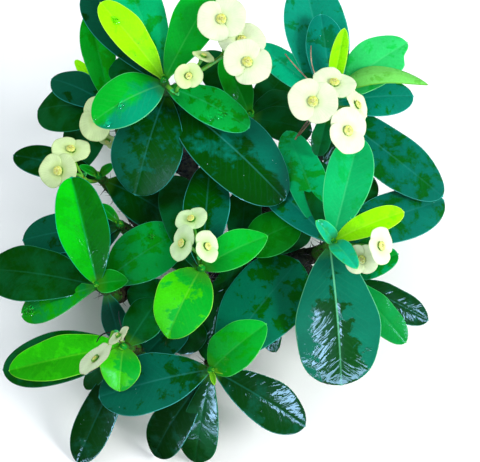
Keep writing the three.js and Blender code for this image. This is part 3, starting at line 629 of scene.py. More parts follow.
def leafMaterial(name, tone):
    # waxed leaf skin: matt where dry, its blue-green partly the wax bloom and partly a painted sheen of sky
    # reflected off the wax; dark clear green and mirror-bright under rain
    look = leafSkin | tone
    skin, add, where = startSkin("waxed leaf skin, " + name)
    side, forth, rim = splitField(add, "leafPlace")
    c, t, chance = splitField(add, "leafShare")
    cloud, bloom, drift, soft = (
        add("TexNoise", Vector=where, Scale=perMetre / size, Detail=detail)
        for size, detail in look["noises"].values())
    # rain patches: ragged where the noise passes the threshold
    field = add("TexNoise", Vector=where, Scale=perMetre / look["patch"], Detail=5.0, Roughness=0.62,
                Distortion=0.3)
    fromBand = add("Math ABSOLUTE", add("Math SUBTRACT", c, look["band"]))
    leans = ((c, "side"), (add("Math SUBTRACT", t, 0.5), "tip"), (add("Math SUBTRACT", 0.4, fromBand), "rib"))
    for value, lean in leans:
        field = add("Math MULTIPLY_ADD", value, look[lean], field)
    bar = 0.5 + (0.5 - look["share"]) * 0.3
    wet = add("MapRange", field, bar - look["edge"], bar + look["edge"])
    # veins: a rib down the middle and pairs that run out and forward from it
    across = add("Math ABSOLUTE", side)
    forward = add("Math MULTIPLY_ADD", across, -look["veinSlope"], forth)
    lane = add("Math PINGPONG", add("Math MULTIPLY_ADD", drift, 3.0, forward), look["veinSpacing"] / 2)
    inner = add("MapRange", add("Math ABSOLUTE", c), 0.95, 0.5)
    vein = add("Math MULTIPLY", add("MapRange", lane, 0.6, 0.05), inner)
    rib = add("Math MULTIPLY", add("MapRange", across, 0.7, 0.15), add("MapRange", t, 0.5, 1.0, 1.0, 0.3))
    # colour, from the broad to the fine
    shade = add("Math MULTIPLY_ADD", cloud, 0.6, add("Math MULTIPLY_ADD", bloom, 0.34, 0.53))
    # one half of the leaf darker than the other: painted shade, as on the half of a folded leaf turned from the
    # light
    left, right = 1 + min(0, look["halves"]), 1 - max(0, look["halves"])
    shade = add("Math MULTIPLY", shade, add("MapRange", c, -0.12, 0.12, left, right))
    shade = add("Math MULTIPLY", shade, add("MapRange", t, 0.0, 0.55, look["foot"], 1.02))
    colour = add("HueSaturation", Color=layered(add, look["dry"], (wet, look["wet"])), Value=shade)
    layers = [(add("Math MULTIPLY", vein, look["veinShow"]), look["rim"]),
              (add("Math MULTIPLY", rib, look["ribShow"]), look["rim"]),
              # the rim colour along the edges: a painted highlight, the light caught on the rounded margin
              (add("MapRange", rim, 0.55, 0.1, 0.0, look["paintedEdgeHighlight"]), look["rim"]),
              (add("MapRange", forth, 8.0, 1.0, 0.0, look["petioleShow"]), look["petiole"])]
    # pale blue-white specks: painted glints, the light caught on tiny spots of water
    if look["paintedGlints"]:
        cells = add("TexVoronoi", Vector=where, Scale=perMetre / look["paintedGlintSpacing"], output=None)
        chosen = add("SeparateXYZ", cells["Color"])
        rare = add("TexNoise", Vector=where, Scale=perMetre / 9, Detail=2.0)
        chosen = add("Math LESS_THAN", chosen, add("MapRange", rare, 0.5, 0.66, 0.0, look["paintedGlints"]))
        dots = add("MapRange", cells["Distance"], 0.13, 0.05, 0.0, look["paintedGlintShow"])
        layers.append((add("Math MULTIPLY", dots, chosen), look["paintedGlintColour"]))
    below = layered(add, look["dry"], (look["underShow"], look["under"]))
    below = add("HueSaturation", Color=below, Value=shade)
    layers.append((add("MapRange", rim, 0.0, -0.02), below))
    # gloss: the wax bloom is matt, and the film of water over it a clear smooth coat
    film = add("Math MULTIPLY", wet, add("MapRange", rim, -0.02, 0.0))
    rough = add("Math MULTIPLY_ADD", bloom, 0.2, add("Math MULTIPLY_ADD", film, -0.15, look["rough"]))
    # relief, in millimetres, and that of the water, whose ripples follow the veins
    rises = look["rises"]
    height = add("Math MULTIPLY", rib, rises["rib"])
    for value, layer in ((vein, "vein"), (film, "film"), (bloom, "bloom"), (soft, "soft")):
        height = add("Math MULTIPLY_ADD", value, rises[layer], height)
    apart = add("Math MULTIPLY", chance, look["apart"])
    flow = add("CombineXYZ", add("Math MULTIPLY", side, look["flow"]), forward, apart)
    waves = add("TexNoise", Vector=flow, Scale=1 / look["waves"], Detail=2.0, Distortion=1.1)
    waves = add("Math MULTIPLY_ADD", film, 0.06, add("Math MULTIPLY", waves, look["ripple"]))
    skin.diffuse_color = linearColour(look["dry"])
    return setShader(
        skin, Base_Color=layered(add, colour, *layers), Roughness=rough, Specular_IOR_Level=look["specular"],
        IOR=1.45, Coat_Weight=add("Math MULTIPLY", film, look["film"]), Coat_Roughness=look["filmRough"],
        Coat_IOR=1.33, Normal=add("Bump", Strength=0.8, Distance=metres, Height=height),
        Coat_Normal=add("Bump", Strength=0.9, Distance=metres, Height=waves))


leafSkins = {name: leafMaterial(name, tone) for name, tone in leafTones.items()}
print("leaf materials:", len(leafSkins))


# drops lie on leaves of at least this width, past this share of the leaf's length and so many points clear of
# its edges; the smallest is a share of the widest, and lift and height are shares of a drop's radius
dropForm = {"leafWidth": 18, "past": 0.42, "clear": 5, "smallest": 0.55, "lift": 0.12, "height": 0.7}


def placeDrops(drops, blade, tone, seed):
    # drops lie on the upper face, each standing square to the leaf where it lies
    (count, widest), clear = tone["beads"], dropForm["clear"]
    random = np.random.RandomState(seed + 900)
    across = 2 * len(leafForm["columns"]) - 1
    grid = blade["points"][:-2].reshape(-1, 2 * across - 2, 3)[:, :across]
    for _ in range(count):
        row = random.randint(len(grid) * dropForm["past"], len(grid) - clear)
        column = random.randint(clear, across - clear)
        ahead = grid[row + 1, column] - grid[row - 1, column]
        beside = grid[row, column + 1] - grid[row, column - 1]
        facing = unit(np.cross(beside, ahead))
        facing = facing * np.sign(facing[2])
        size = widest * random.uniform(dropForm["smallest"], 1)
        centre = grid[row, column] + facing * size * dropForm["lift"]
        drops.add([centre], facing=[facing], size=[size * metres])


# a bud scale's own numbers are its width, arch, fold and spoon
budScale = {"reach": 1.3, "rise": 3.1, "form": (2.2, -0.3, 20, 0.4)}


def growLeaves():
    # two pieces a shoot, as the solids have: the dark full-grown leaves and the bright ones at the tip
    seed, drops = 0, Batch()
    for name, shoot in shoots.items():
        young, grown = Batch(), Batch()
        axis, tip = along(shoot), np.asarray(shoot["tip"], float)
        young.add(skin=leafSkins["leafGreen"], **budMesh(tip - axis * 0.4, axis))
        for k in range(3):
            seed += 1
            turn = math.radians(120 * k + 40 * seed)
            aside = unit(np.cross(axis, (math.cos(turn), math.sin(turn), 0.1)))
            x, y, z = tip + aside * budScale["reach"] + axis * budScale["rise"]
            scale = leaf("limeGreen", 0, x, y, z, *budScale["form"])
            young.add(skin=leafSkins["limeGreen"], **leafMesh(scale, tip + aside * 0.9 - axis * 0.6, seed))
        for shape in shoot["leaves"]:
            seed += 1
            drop, tone = shape["drop"], leafTones[shape["tone"]]
            root = spot(shoot, drop) + outwards(shoot, drop, shape["tip"]) * 0.3 * shootRadius(shoot, drop)
            blade = leafMesh(shape, root, seed)
            batch = young if drop < stemForm["youngDrop"] else grown
            batch.add(skin=leafSkins[shape["tone"]], **blade)
            if "beads" in tone and shape["width"] >= dropForm["leafWidth"]:
                placeDrops(drops, blade, tone, seed)
        for batch, age, slot in ((young, "young", "young_leaf"), (grown, "mature", "mature_leaf")):
            finishPiece(batch.make(f"{name}_fine_{age}_leaves"), slot, f"{name}_{age}_leaves")
    return drops


drops = growLeaves()
print("leaves grown")


def evenPoints(controls, count):
    # points at even steps along a Bezier curve
    fine = bezier(controls, np.linspace(0, 1, 241))
    far = np.concatenate([[0], np.cumsum(np.linalg.norm(np.diff(fine, axis=0), axis=1))])
    steps = np.linspace(0, far[-1], count)
    return np.stack([np.interp(steps, far, fine[:, k]) for k in range(3)], 1)


def woodyLine(name):
    # a woody stem bends from the stump, or from the stem it grows on, into the line of its shoot
    shoot, form = shoots[name], stemForm
    axis = along(shoot)
    end = np.asarray(shoot["foot"], float) + axis * form["limbSink"]
    level = unit((end[0], end[1], 0))
    start, radius = np.array((0, 0, form["limbStart"][2])) + level * form["limbStart"][0], form["limbRadius"]
    heading = unit(level * form["limbLean"] + (0, 0, 1))
    if "parent" in shoot:
        line = woodyLine(shoot["parent"])[0]
        fork = round(shoot["along"] * (len(line) - 1))
        start, heading, radius = line[fork], unit(line[fork + 1] - line[fork - 1]), form["twigRadius"]
    reach = np.linalg.norm(end - start) * form["limbSweep"]
    line = evenPoints([start, start + heading * reach, end - axis * reach, end], form["limbPoints"])
    thinned = np.linspace(0, 1, form["limbPoints"]) ** form["limbTaper"]
    return line, lerp(radius, form["woodyTipRadius"], thinned)


def addLine(batch, line, thick):
    steps = [(k, k + 1) for k in range(len(line) - 1)]
    batch.add(line, edges=steps, thick=np.asarray(thick) * metres)


def roundStemTree():
    # a round stem along each line of the mesh, with lumps in its skin and a swelling at every leaf scar
    tree, given, add = newTree("roundStem", Sides=24, Ring_spacing=0.001, Lump_size=0.004, Lump_height=0.0003,
                               Scar_spacing=0.006, Scar_height=0.0004)
    thick = add("InputNamedAttribute", Name="thick", data_type="FLOAT")
    line = add("MeshToCurve", given["Geometry"])
    line = add("ResampleCurve", Curve=line, Length=given["Ring spacing"], mode="LENGTH")
    line = add("StoreNamedAttribute", Geometry=line, Name="alongStem", data_type="FLOAT", domain="POINT",
               Value=add("SplineParameter", output="Length"))
    circle = add("CurvePrimitiveCircle", Resolution=given["Sides"], Radius=1.0)
    tube = add("CurveToMesh", Curve=line, Profile_Curve=circle, Scale=thick, Fill_Caps=True)
    lumps = add("TexNoise", Scale=add("Math DIVIDE", 1.0, given["Lump size"]), Detail=3.0)
    lumps = add("Math MULTIPLY", add("Math SUBTRACT", lumps, 0.5), given["Lump height"])
    walked = add("InputNamedAttribute", Name="alongStem", data_type="FLOAT")
    swell = add("Math PINGPONG", add("Math DIVIDE", walked, given["Scar spacing"]), 0.5)
    swell = add("MapRange", swell, 0.3, 0.5, 0.0, given["Scar height"], interpolation_type="SMOOTHSTEP")
    push = add("VectorMath SCALE", add("InputNormal"), Scale=add("Math ADD", lumps, swell))
    return closeTree(tree, given, add, add("SetPosition", Geometry=tube, Offset=push))


def spineTree():
    # a pair of spines beside every leaf scar, the scars winding round the stem by the golden angle
    tree, given, add = newTree("spinePairs", Spacing=0.0045, Spine_length=0.009, Base_radius=0.0006,
                               Splay=0.45, Slant=0.35, Seed=4)
    line = add("MeshToCurve", given["Geometry"])
    scars = add("CurveToPoints", Curve=line, Length=given["Spacing"], mode="LENGTH", output=None)
    points, kinds = scars["Points"], {"forward": "FLOAT_VECTOR", "aside": "FLOAT_VECTOR", "scar": "FLOAT"}
    for label, value in zip(kinds, (scars["Tangent"], scars["Normal"], add("InputIndex"))):
        points = add("StoreNamedAttribute", Geometry=points, Name=label, Value=value, data_type=kinds[label],
                     domain="POINT")
    pair = add("DuplicateElements", Geometry=points, Amount=2, domain="POINT", output=None)
    kinds["thick"] = "FLOAT"
    forward, aside, scar, thick = (add("InputNamedAttribute", Name=label, data_type=kind)
                                   for label, kind in kinds.items())
    splay = add("MapRange", pair["Duplicate Index"], 0.0, 1.0, add("Math MULTIPLY", given["Splay"], -1.0),
                given["Splay"])
    angle = add("Math MULTIPLY_ADD", scar, goldenAngle, splay)
    outward = add("VectorRotate", Vector=aside, Axis=forward, Angle=angle, rotation_type="AXIS_ANGLE")
    stray = add("RandomValue", Min=(-0.22, -0.22, -0.22), Max=(0.22, 0.22, 0.22), Seed=given["Seed"],
                data_type="FLOAT_VECTOR")
    way = add("VectorMath ADD", outward, add("VectorMath SCALE", forward, Scale=given["Slant"]))
    turn = add("AlignRotationToVector", Vector=add("VectorMath ADD", way, stray), axis="Z")
    shift = add("VectorMath SCALE", outward, Scale=add("Math MULTIPLY", thick, 0.8))
    roots = add("SetPosition", Geometry=pair["Geometry"], Offset=shift)
    # one spine: a flared foot, a straight shaft and a slight bend
    shaft = add("CurvePrimitiveLine", End=add("CombineXYZ", Z=given["Spine length"]))
    shaft = add("ResampleCurve", Curve=shaft, Count=6)
    far = add("SplineParameter", output="Factor")
    left = add("Math SUBTRACT", 1.03, far)
    taper = add("Math MULTIPLY_ADD", left, 0.42, add("Math POWER", left, 7.0))
    curl = add("Math MULTIPLY", add("Math MULTIPLY", far, far), given["Base radius"])
    shaft = add("SetPosition", Geometry=shaft, Offset=add("CombineXYZ", X=curl))
    circle = add("CurvePrimitiveCircle", Resolution=6, Radius=1.0)
    spine = add("CurveToMesh", Curve=shaft, Profile_Curve=circle, Fill_Caps=True,
                Scale=add("Math MULTIPLY", taper, given["Base radius"]))
    size = add("RandomValue", {2: 0.65, 3: 1.15, "Seed": given["Seed"]}, output=1, data_type="FLOAT")
    spines = add("InstanceOnPoints", Points=roots, Instance=spine, Rotation=turn, Scale=size)
    return closeTree(tree, given, add, spines)


# the bark's colours are darkened towards black-green as painted shade, the shade inside the plant
barkLook = {"light": "#3E3A2A", "dark": "#12140C", "crack": 3.2, "speck": 0.7}
skinLooks = {
    # living stems: smooth, with darker and rusty blotches and a soft waxy sheen
    "green shoot skin": dict(colours=("#2E7A16", "#2C4A1C"), scars=("#5A2A1A", 0.8)),
    "smooth flower stalk skin": dict(colours=("#6EBE32", "#2F8A1E"), scars=("#9A5A3C", 0.5)),
    # dead stalks: papery and blotched
    "dry papery stalk": dict(colours=("#C9A58C", "#7A5646"), scars=("#7A5646", 0.8)),
    "dark dead stalk": dict(colours=("#3A3020", "#14100C"), scars=("#14100C", 0.8)),
    # dry horn of the spines: dark and a little glossy
    "dark dry spine horn": dict(colours=("#1A1410", "#4A3C30"), blotch=(1.5, 3.0), span=(0.0, 1.0),
                                grain=(1.5, 3.0), rough=(0.35, 0.6), bump=None, specular=0.5),
}


def barkMaterial():
    # grey-brown bark, darkened towards black-green as painted shade of the plant's inside: dull, with fine
    # cracks along it and paler corky ridges
    skin, add, where = startSkin("corky bark in painted shade")
    ridges = add("TexNoise", Vector=where, Scale=perMetre / barkLook["crack"], Detail=5.0, Distortion=0.8)
    specks = add("TexNoise", Vector=where, Scale=perMetre / barkLook["speck"], Detail=4.0)
    blend = add("Math MULTIPLY_ADD", specks, 0.5, add("MapRange", ridges, 0.35, 0.65))
    blend = add("Math SUBTRACT", blend, 0.25, use_clamp=True)
    return setShader(
        skin, Base_Color=layered(add, barkLook["dark"], (blend, barkLook["light"])), Specular_IOR_Level=0.25,
        Roughness=add("MapRange", ridges, 0.0, 1.0, 0.95, 0.75),
        Normal=add("Bump", Strength=0.9, Distance=metres * 0.6, Height=blend))


barkSkin = barkMaterial()
shootSkin, stalkSkin, drySkin, snagSkin, spineSkin = (
    mottledSkin(name, **look) for name, look in skinLooks.items())
stemMaker, spineMaker = roundStemTree(), spineTree()


def stumpMesh():
    # the stump: a flared foot cut flat below, with shallow ridges round it
    profile = stemForm["stumpProfile"]
    steps = np.linspace(0, 1, stemForm["stumpRings"])
    radius, height = (np.interp(steps, np.linspace(0, 1, len(profile)), side)[:, None]
                      for side in np.array(profile, float).T)
    turn = np.linspace(0, 2 * math.pi, stemForm["stumpSides"], endpoint=False)
    phases = np.random.RandomState(11).uniform(0, 2 * math.pi, 5)
    ridge = sum(0.6 ** k * np.sin((3 + 2 * k) * turn + phases[k]) for k in range(5))
    wide = radius * (1 + 0.022 * ridge * (smoothstep(0, 0.3, steps) * smoothstep(1, 0.8, steps))[:, None])
    points = np.stack([wide * np.cos(turn), wide * np.sin(turn), height + 0 * wide], -1).reshape(-1, 3)
    points = np.concatenate([points, [(0, 0, 0), (0, 0, height[-1, 0] + 0.6)]])
    return points, ringFaces(len(steps), len(turn))


def growStems():
    points, faces = stumpMesh()
    finishPiece(makeMesh("stump", points, faces, skins=[barkSkin]), "woody_bark", "woody_stem")
    wood, green, thorny = Batch(), Batch(), Batch()
    sink, bald = stemForm["shootSink"], stemForm["baldPoints"]
    for name, shoot in shoots.items():
        line, thick = woodyLine(name)
        addLine(wood, line, thick)
        addLine(thorny, line, thick)
        levels = np.linspace(shootLength(shoot) + sink, sink, stemForm["shootPoints"])
        stem = np.array([spot(shoot, drop) for drop in levels])
        radius = [shootRadius(shoot, drop) for drop in levels]
        addLine(green, stem, radius)
        addLine(thorny, stem[:-bald], radius[:-bald])
    grow("woody_branches", wood.make("lines"), stemMaker, barkSkin, "woody_bark", "woody_stem",
         Ring_spacing=0.0012, Lump_size=0.005, Lump_height=0.0012, Scar_spacing=0.0055, Scar_height=0.0005)
    grow("green_shoot_stems", green.make("lines"), stemMaker, shootSkin, "mature_leaf",
         *[f"{name}_mature_leaves" for name in shoots], Ring_spacing=0.0009, Lump_size=0.003,
         Lump_height=0.0004, Scar_spacing=0.004, Scar_height=0.0003)
    grow("spines", thorny.make("lines"), spineMaker, spineSkin, "woody_bark", "woody_stem")


growStems()
print("stems and spines grown")


bractForm = {
    "halfTurn": 114.0, "hole": 1.7, "thickness": 0.5, "lift": 0.07, "step": 1.3, "taper": 0.13, "ruffle": 0.4,
    "belly": 0.5, "usualWidth": 26, "edgePoint": 0.86, "columns": 41, "rows": 12,
}
bractTones = {
    "cream": dict(face="#DFECC4", throat="#D2E4A0", vein="#D4E2B4", edge="#CEDEB0"),
    # a greener cream, also darker as painted shade, for the sprays on the plant's shaded left side
    "shadedGreenCream": dict(face="#CFE4A8", throat="#B9D274", vein="#B4D088", edge="#B4CC88"),
    "paleGreen": dict(face="#D2EDB8", throat="#B4DC78", vein="#B4DC94", edge="#B9DC9A"),
    "ashCream": dict(face="#D4E4BC", throat="#BECD96", vein="#B9C896", edge="#BEBE8C"),
    "youngCream": dict(face="#D6EAAC", throat="#C3DE82", vein="#C6E096", edge="#C0D896"),
}
sprayTones = {
    "back_left_small": "youngCream", "back_left_large": "cream", "back_right": "cream", "right": "cream",
    "middle": "paleGreen", "left_back": "shadedGreenCream", "far_left": "shadedGreenCream", "front_left": "ashCream",
}
# how large the middle of a flower is, where it isn't full size
eyeSize = {"front_left": 0.55}
stalkForm = {
    "peduncle": 1.15, "pedicel": 0.85, "sweep": 8, "neck": 1.5, "cup": 2.6, "cupHeight": 4.6, "cupRise": 1.9,
    "fullWidth": 24, "mainPoints": 30, "points": 40,
}


def facingOf(bloom):
    lean, towards, spin = (math.radians(bloom[angle]) for angle in ("lean", "towards", "spin"))
    facing = np.array((math.cos(towards), math.sin(towards), 0)) * math.sin(lean)
    facing[2] = math.cos(lean)
    ahead = np.array((math.cos(spin), math.sin(spin), 0))
    ahead = unit(ahead - facing * np.dot(ahead, facing))
    return facing, ahead, np.cross(facing, ahead)


def bractMesh(bloom, way, seed):
    # one of the two broad kidney-shaped bracts, closed and thin, laid a little over or under the other
    form, width = bractForm, bloom["width"]
    random = np.random.RandomState(seed)
    facing, ahead, across = facingOf(bloom)
    mid = np.linspace(-1, 1, form["columns"])[:, None]
    turn = mid * math.radians(form["halfTurn"])
    full = width / 2 * (1 - form["taper"] * (turn / 1.57) ** 2) * (1 - np.abs(mid) ** 6) ** 0.45
    full = full * (1 + 0.025 * np.exp(-(turn / 0.12) ** 2))
    full = full * (1 + 0.015 * np.sin(5 * turn + random.uniform(0, 6)))
    full = np.maximum(full, form["hole"] + 0.4)
    out = np.sin(np.linspace(0, math.pi / 2, form["rows"]))
    rows = np.concatenate([out, out[-2:0:-1]])
    face = np.where(np.arange(len(rows)) < len(out), 1, -1)
    reach = lerp(form["hole"], full, rows)
    lift = form["lift"] * width * (1 - 0.6 * (turn / 1.466) ** 2) * (0.3 + 0.7 * rows ** 1.4)
    lift = lift + (way - 0.5) * form["step"] * np.abs(mid) * np.minimum(1, 0.4 + rows)
    ruffle = np.sin(4.2 * turn + random.uniform(0, 6)) + 0.5 * np.sin(9 * turn + random.uniform(0, 6))
    soft = form["ruffle"] * ruffle * rows ** 2 + form["belly"] * np.sin(math.pi * rows) * np.cos(turn * 0.9)
    lift = lift + soft * width / form["usualWidth"]
    edge = np.sqrt(1 - (np.clip(rows - form["edgePoint"], 0, 1) / (1 - form["edgePoint"])) ** 2)
    ends = np.sqrt(np.clip(1 - np.abs(mid) ** 24, 0.02, 1))
    lift = lift + face * form["thickness"] / 2 * np.maximum(edge, 0.05) * ends
    angle = math.pi * way + turn + 0 * rows
    points = (np.asarray(bloom["centre"], float) + ahead * (reach * np.cos(angle))[..., None]
              + across * (reach * np.sin(angle))[..., None] + facing * lift[..., None])
    local = np.stack([angle * 10, reach, full - reach], -1)
    return dict(points=np.concatenate([points.reshape(-1, 3), [points[0].mean(0), points[-1].mean(0)]]),
                faces=ringFaces(len(mid), len(rows)),
                bractPlace=np.concatenate([local.reshape(-1, 3), local[0, :1], local[-1, :1]]))


def bractMaterial(name, look):
    # thin waxy bract: cream, soft and matt, with faint fanned veins and a greener throat
    skin, add, where = startSkin("waxy bract, " + name)
    turn, reach, rim = splitField(add, "bractPlace")
    cloud = add("TexNoise", Vector=where, Scale=perMetre / 5, Detail=3.0)
    fine = add("TexNoise", Vector=where, Scale=perMetre, Detail=3.0)
    vein = add("MapRange", add("Math PINGPONG", add("Math MULTIPLY_ADD", cloud, 1.6, turn), 0.75), 0.3, 0.0)
    colour = layered(add, look["face"], (add("Math MULTIPLY", vein, 0.35), look["vein"]),
                     (add("MapRange", reach, 2.0, 6.5, 0.85, 0.0), look["throat"]),
                     (add("MapRange", rim, 0.1, 0.8, 0.7, 0.0), look["edge"]))
    shade = add("MapRange", cloud, 0.3, 0.7, 0.9, 1.04)
    relief = add("Math MULTIPLY_ADD", vein, -0.5, cloud)
    return setShader(
        skin, Base_Color=add("HueSaturation", Color=colour, Value=shade), Specular_IOR_Level=0.2,
        Roughness=add("MapRange", fine, 0.0, 1.0, 0.45, 0.62),
        Normal=add("Bump", Strength=0.5, Distance=metres * 0.2, Height=relief))


def onFacings(add, given, shape, size):
    # stands a shape on each point of the source mesh, with its own up along the point's facing
    facing = add("InputNamedAttribute", Name="facing", data_type="FLOAT_VECTOR")
    stand = add("AlignRotationToVector", Vector=facing, axis="Z")
    points = add("MeshToPoints", Mesh=given["Geometry"])
    return add("InstanceOnPoints", Points=points, Instance=shape, Rotation=stand, Scale=size)


def flowerRingTree():
    # rounded grains in a ring on each flower's face: nectar glands, stamens or anthers
    tree, given, add = newTree("flowerRing", Count=5, Ring_radius=0.002, Grain_length=0.001,
                               Grain_width=0.001, Grain_height=0.0005, Lift=0.0002, Seed=2)
    circle = add("MeshCircle", Vertices=given["Count"], Radius=given["Ring radius"])
    circle = add("SetPosition", Geometry=circle, Offset=add("CombineXYZ", Z=given["Lift"]))
    flat = add("VectorMath MULTIPLY", add("InputPosition"), (1, 1, 0))
    outward = add("AlignRotationToVector", Vector=flat, axis="X")
    grain = add("MeshUVSphere", Segments=8, Rings=6, Radius=1.0)
    size = add("CombineXYZ", given["Grain length"], given["Grain width"], given["Grain height"])
    vary = add("RandomValue", {2: 0.85, 3: 1.15, "Seed": given["Seed"]}, output=1, data_type="FLOAT")
    size = add("VectorMath SCALE", size, Scale=vary)
    ring = add("InstanceOnPoints", Points=circle, Instance=grain, Rotation=outward, Scale=size)
    scale = add("InputNamedAttribute", Name="size", data_type="FLOAT")
    return closeTree(tree, given, add, onFacings(add, given, ring, scale))


# the middle of a flower: how many grains, and in metres how far out, how long, wide and high, and their lift
eyeForm = {
    "discs": (3, 0.0004, 0.0026, 0.0028, 0.0007, 0.0),
    "glands": (5, 0.0018, 0.0008, 0.00105, 0.00032, 0.0004),
    "lobes": (10, 0.001, 0.00032, 0.0003, 0.0005, 0.0006),
    "stamens": (6, 0.0006, 0.00015, 0.00015, 0.0006, 0.0008),
    "anthers": (6, 0.00064, 0.0003, 0.00036, 0.00026, 0.0014),
}
eyeInputs = ("Count", "Ring_radius", "Grain_length", "Grain_width", "Grain_height", "Lift")
bractSkins = {name: bractMaterial(name, look) for name, look in bractTones.items()}
# juicy gland flesh, softer cup flesh and dry pollen: yellow-green with darker flecks, from wet to dull
fleck = dict(blotch=(0.9, 3.0), span=(0.35, 0.65), bump=(0.5, 0.1), specular=0.5)
glandSkin = mottledSkin("nectar gland flesh", ("#C8CC55", "#DCDC6E"), rough=(0.35, 0.55), **fleck)
lobeSkin = mottledSkin("soft yellow-green cup flesh", ("#C3CD64", "#E1E68C"), rough=(0.45, 0.65), **fleck)
antherSkin = mottledSkin("dry pollen grains", ("#D2C46E", "#ECE6A0"), rough=(0.7, 0.9), **fleck)
eyeSkins = {"glands": glandSkin, "anthers": antherSkin}
ringMaker = flowerRingTree()


def growSprays():
    seed, form = 100, stalkForm
    for name, spray in sprays.items():
        shoot = shoots[spray["shoot"]]
        axis, root, fork = along(shoot), spot(shoot, spray["drop"]), np.asarray(spray["fork"], float)
        out = outwards(shoot, spray["drop"], fork)
        lines, eyes, count = Batch(), Batch(), form["mainPoints"]
        controls = [root, root + out * form["sweep"] + axis * 2, fork - axis * 4, fork + axis * 0.3]
        swell = 1 + 0.35 * smoothstep(0.9, 1, np.linspace(0, 1, count))
        addLine(lines, evenPoints(controls, count), form["peduncle"] * swell)
        for number, bloom in enumerate(spray["flowers"], 1):
            facing = facingOf(bloom)[0]
            pair = Batch()
            for way in (0, 1):
                seed += 1
                pair.add(skin=bractSkins[sprayTones[name]], **bractMesh(bloom, way, seed))
            finishPiece(pair.make(f"{name}_fine_bracts_{number}"), "cream_bract", f"{name}_bracts_{number}")
            # the flower's own stalk, which widens into a neck and then the cup under the bracts
            small = min(1, bloom["width"] / form["fullWidth"])
            top = np.asarray(bloom["centre"], float) + facing * form["cupRise"]
            reach = np.linalg.norm(top - fork) * 0.4
            heading = unit(unit(top - fork) + axis)
            line = evenPoints([fork, fork + heading * reach, top - facing * reach, top], form["points"])
            length = np.linalg.norm(np.diff(line, axis=0), axis=1).sum()
            left, cupHeight = length * (1 - np.linspace(0, 1, form["points"])), form["cupHeight"]
            radius = lerp(form["pedicel"], form["neck"], smoothstep(cupHeight, cupHeight * 0.55, left))
            radius = radius + smoothstep(cupHeight * 0.6, 0.4, left) * (form["cup"] * small - form["neck"])
            addLine(lines, line, radius)
            eyes.add([top], facing=[facing], size=[small * eyeSize.get(name, 1)])
        stalks = f"{name}_flower_stalks"
        grow(f"{name}_fine_flower_stalks", lines.make("lines"), stemMaker, stalkSkin, "flower_stalk", stalks,
             Sides=16, Ring_spacing=0.0004, Lump_size=0.003, Lump_height=0.00015, Scar_height=0.0)
        for part, sizes in eyeForm.items():
            grow(f"{name}_{part}", eyes.make("points"), ringMaker, eyeSkins.get(part, lobeSkin),
                 "flower_stalk", stalks, **dict(zip(eyeInputs, sizes)))


growSprays()
print("flowers grown")


# each stalk runs from a place on a stem through its bends to its tip, and thick is its radius at the foot
dryStalks = {
    "pale": [
        dict(points=[(60, 64, 107), (52, 71, 113), (44, 75.1, 119), (34.9, 83.1, 128)], thick=0.5),
        dict(points=[(60.5, 64.5, 109), (54, 72, 116), (48.4, 75.3, 121), (49, 84.5, 135)], thick=0.45),
        dict(points=[(60, 66, 100), (53, 64.5, 92), (48, 61.6, 86), (41.5, 51, 83)], thick=0.7),
        dict(points=[(60.5, 65, 98), (54, 63, 91), (49, 59, 87), (43.5, 52, 86)], thick=0.6),
    ],
    "dark": [
        dict(points=[(-54, -66, 62), (-58, -58, 70), (-67, -59, 74), (-69.5, -66, 71)], thick=0.6),
        dict(points=[(-54, -64, 61), (-56, -57, 68), (-58, -52, 74), (-57, -50, 78)], thick=0.45),
    ],
}
dryTip, dryPoints = 0.55, 40
forkScales = {"length": 3.2, "rise": 1.4, "form": (2.6, 0.4, 20, 0.5)}


def waterDropTree():
    # one flattened bead of water on each point
    tree, given, add = newTree("waterDrops", Height=0.5, Segments=10, Rings=6, Seed=5)
    bead = add("MeshUVSphere", Segments=given["Segments"], Rings=given["Rings"], Radius=1.0)
    size = add("InputNamedAttribute", Name="size", data_type="FLOAT")
    longer = add("RandomValue", {2: 0.8, 3: 1.3, "Seed": given["Seed"]}, output=1, data_type="FLOAT")
    wide, high = add("Math MULTIPLY", size, longer), add("Math MULTIPLY", size, given["Height"])
    return closeTree(tree, given, add, onFacings(add, given, bead, add("CombineXYZ", wide, size, high)))


def growDrops():
    # still water, clear but for a green tint that paints the leaf under a drop a little darker as painted
    # shade; bright pinpoint lights on top
    water = mottledSkin("clear rain water", ("#C8EBD2", "#E6FAEE"), blotch=(1.5, 2.0), span=(0.0, 1.0),
                        grain=(1.5, 2.0), rough=(0.0, 0.05), bump=(0.15, 0.2), specular=0.5,
                        Transmission_Weight=1.0, IOR=1.33)
    grow("water_drops", drops.make("points"), waterDropTree(), water, None, Height=dropForm["height"])


def growDryStalks():
    # the dead stalks of fallen flowers
    taper = lerp(1, dryTip, np.linspace(0, 1, dryPoints))
    for name, skin in (("pale", drySkin), ("dark", snagSkin)):
        lines = Batch()
        for stalk in dryStalks[name]:
            addLine(lines, evenPoints(stalk["points"], dryPoints), stalk["thick"] * taper)
        grow(f"{name}_dry_stalks", lines.make("lines"), stemMaker, skin, "flower_stalk", Sides=12,
             Ring_spacing=0.0005, Lump_size=0.002, Lump_height=0.0003, Scar_height=0.0)


def growForkScales():
    # a pair of small scale leaves where each flower stalk forks
    scales, seed = Batch(), 700
    for spray in sprays.values():
        fork = np.asarray(spray["fork"], float)
        axis = along(shoots[spray["shoot"]])
        for turn in (0, math.pi):
            seed += 1
            aside = unit(np.cross(axis, (math.cos(turn + seed), math.sin(turn + seed), 0.1)))
            x, y, z = fork + aside * forkScales["length"] + axis * forkScales["rise"]
            shape = leaf("paleMint", 0, x, y, z, *forkScales["form"])
            scales.add(skin=leafSkins["paleMint"], **leafMesh(shape, fork + aside * 0.6 - axis * 0.8, seed))
    finishPiece(scales.make("fork_scales"), "young_leaf")


growDrops()
growDryStalks()
growForkScales()
print("drops, dry stalks and fork scales grown")


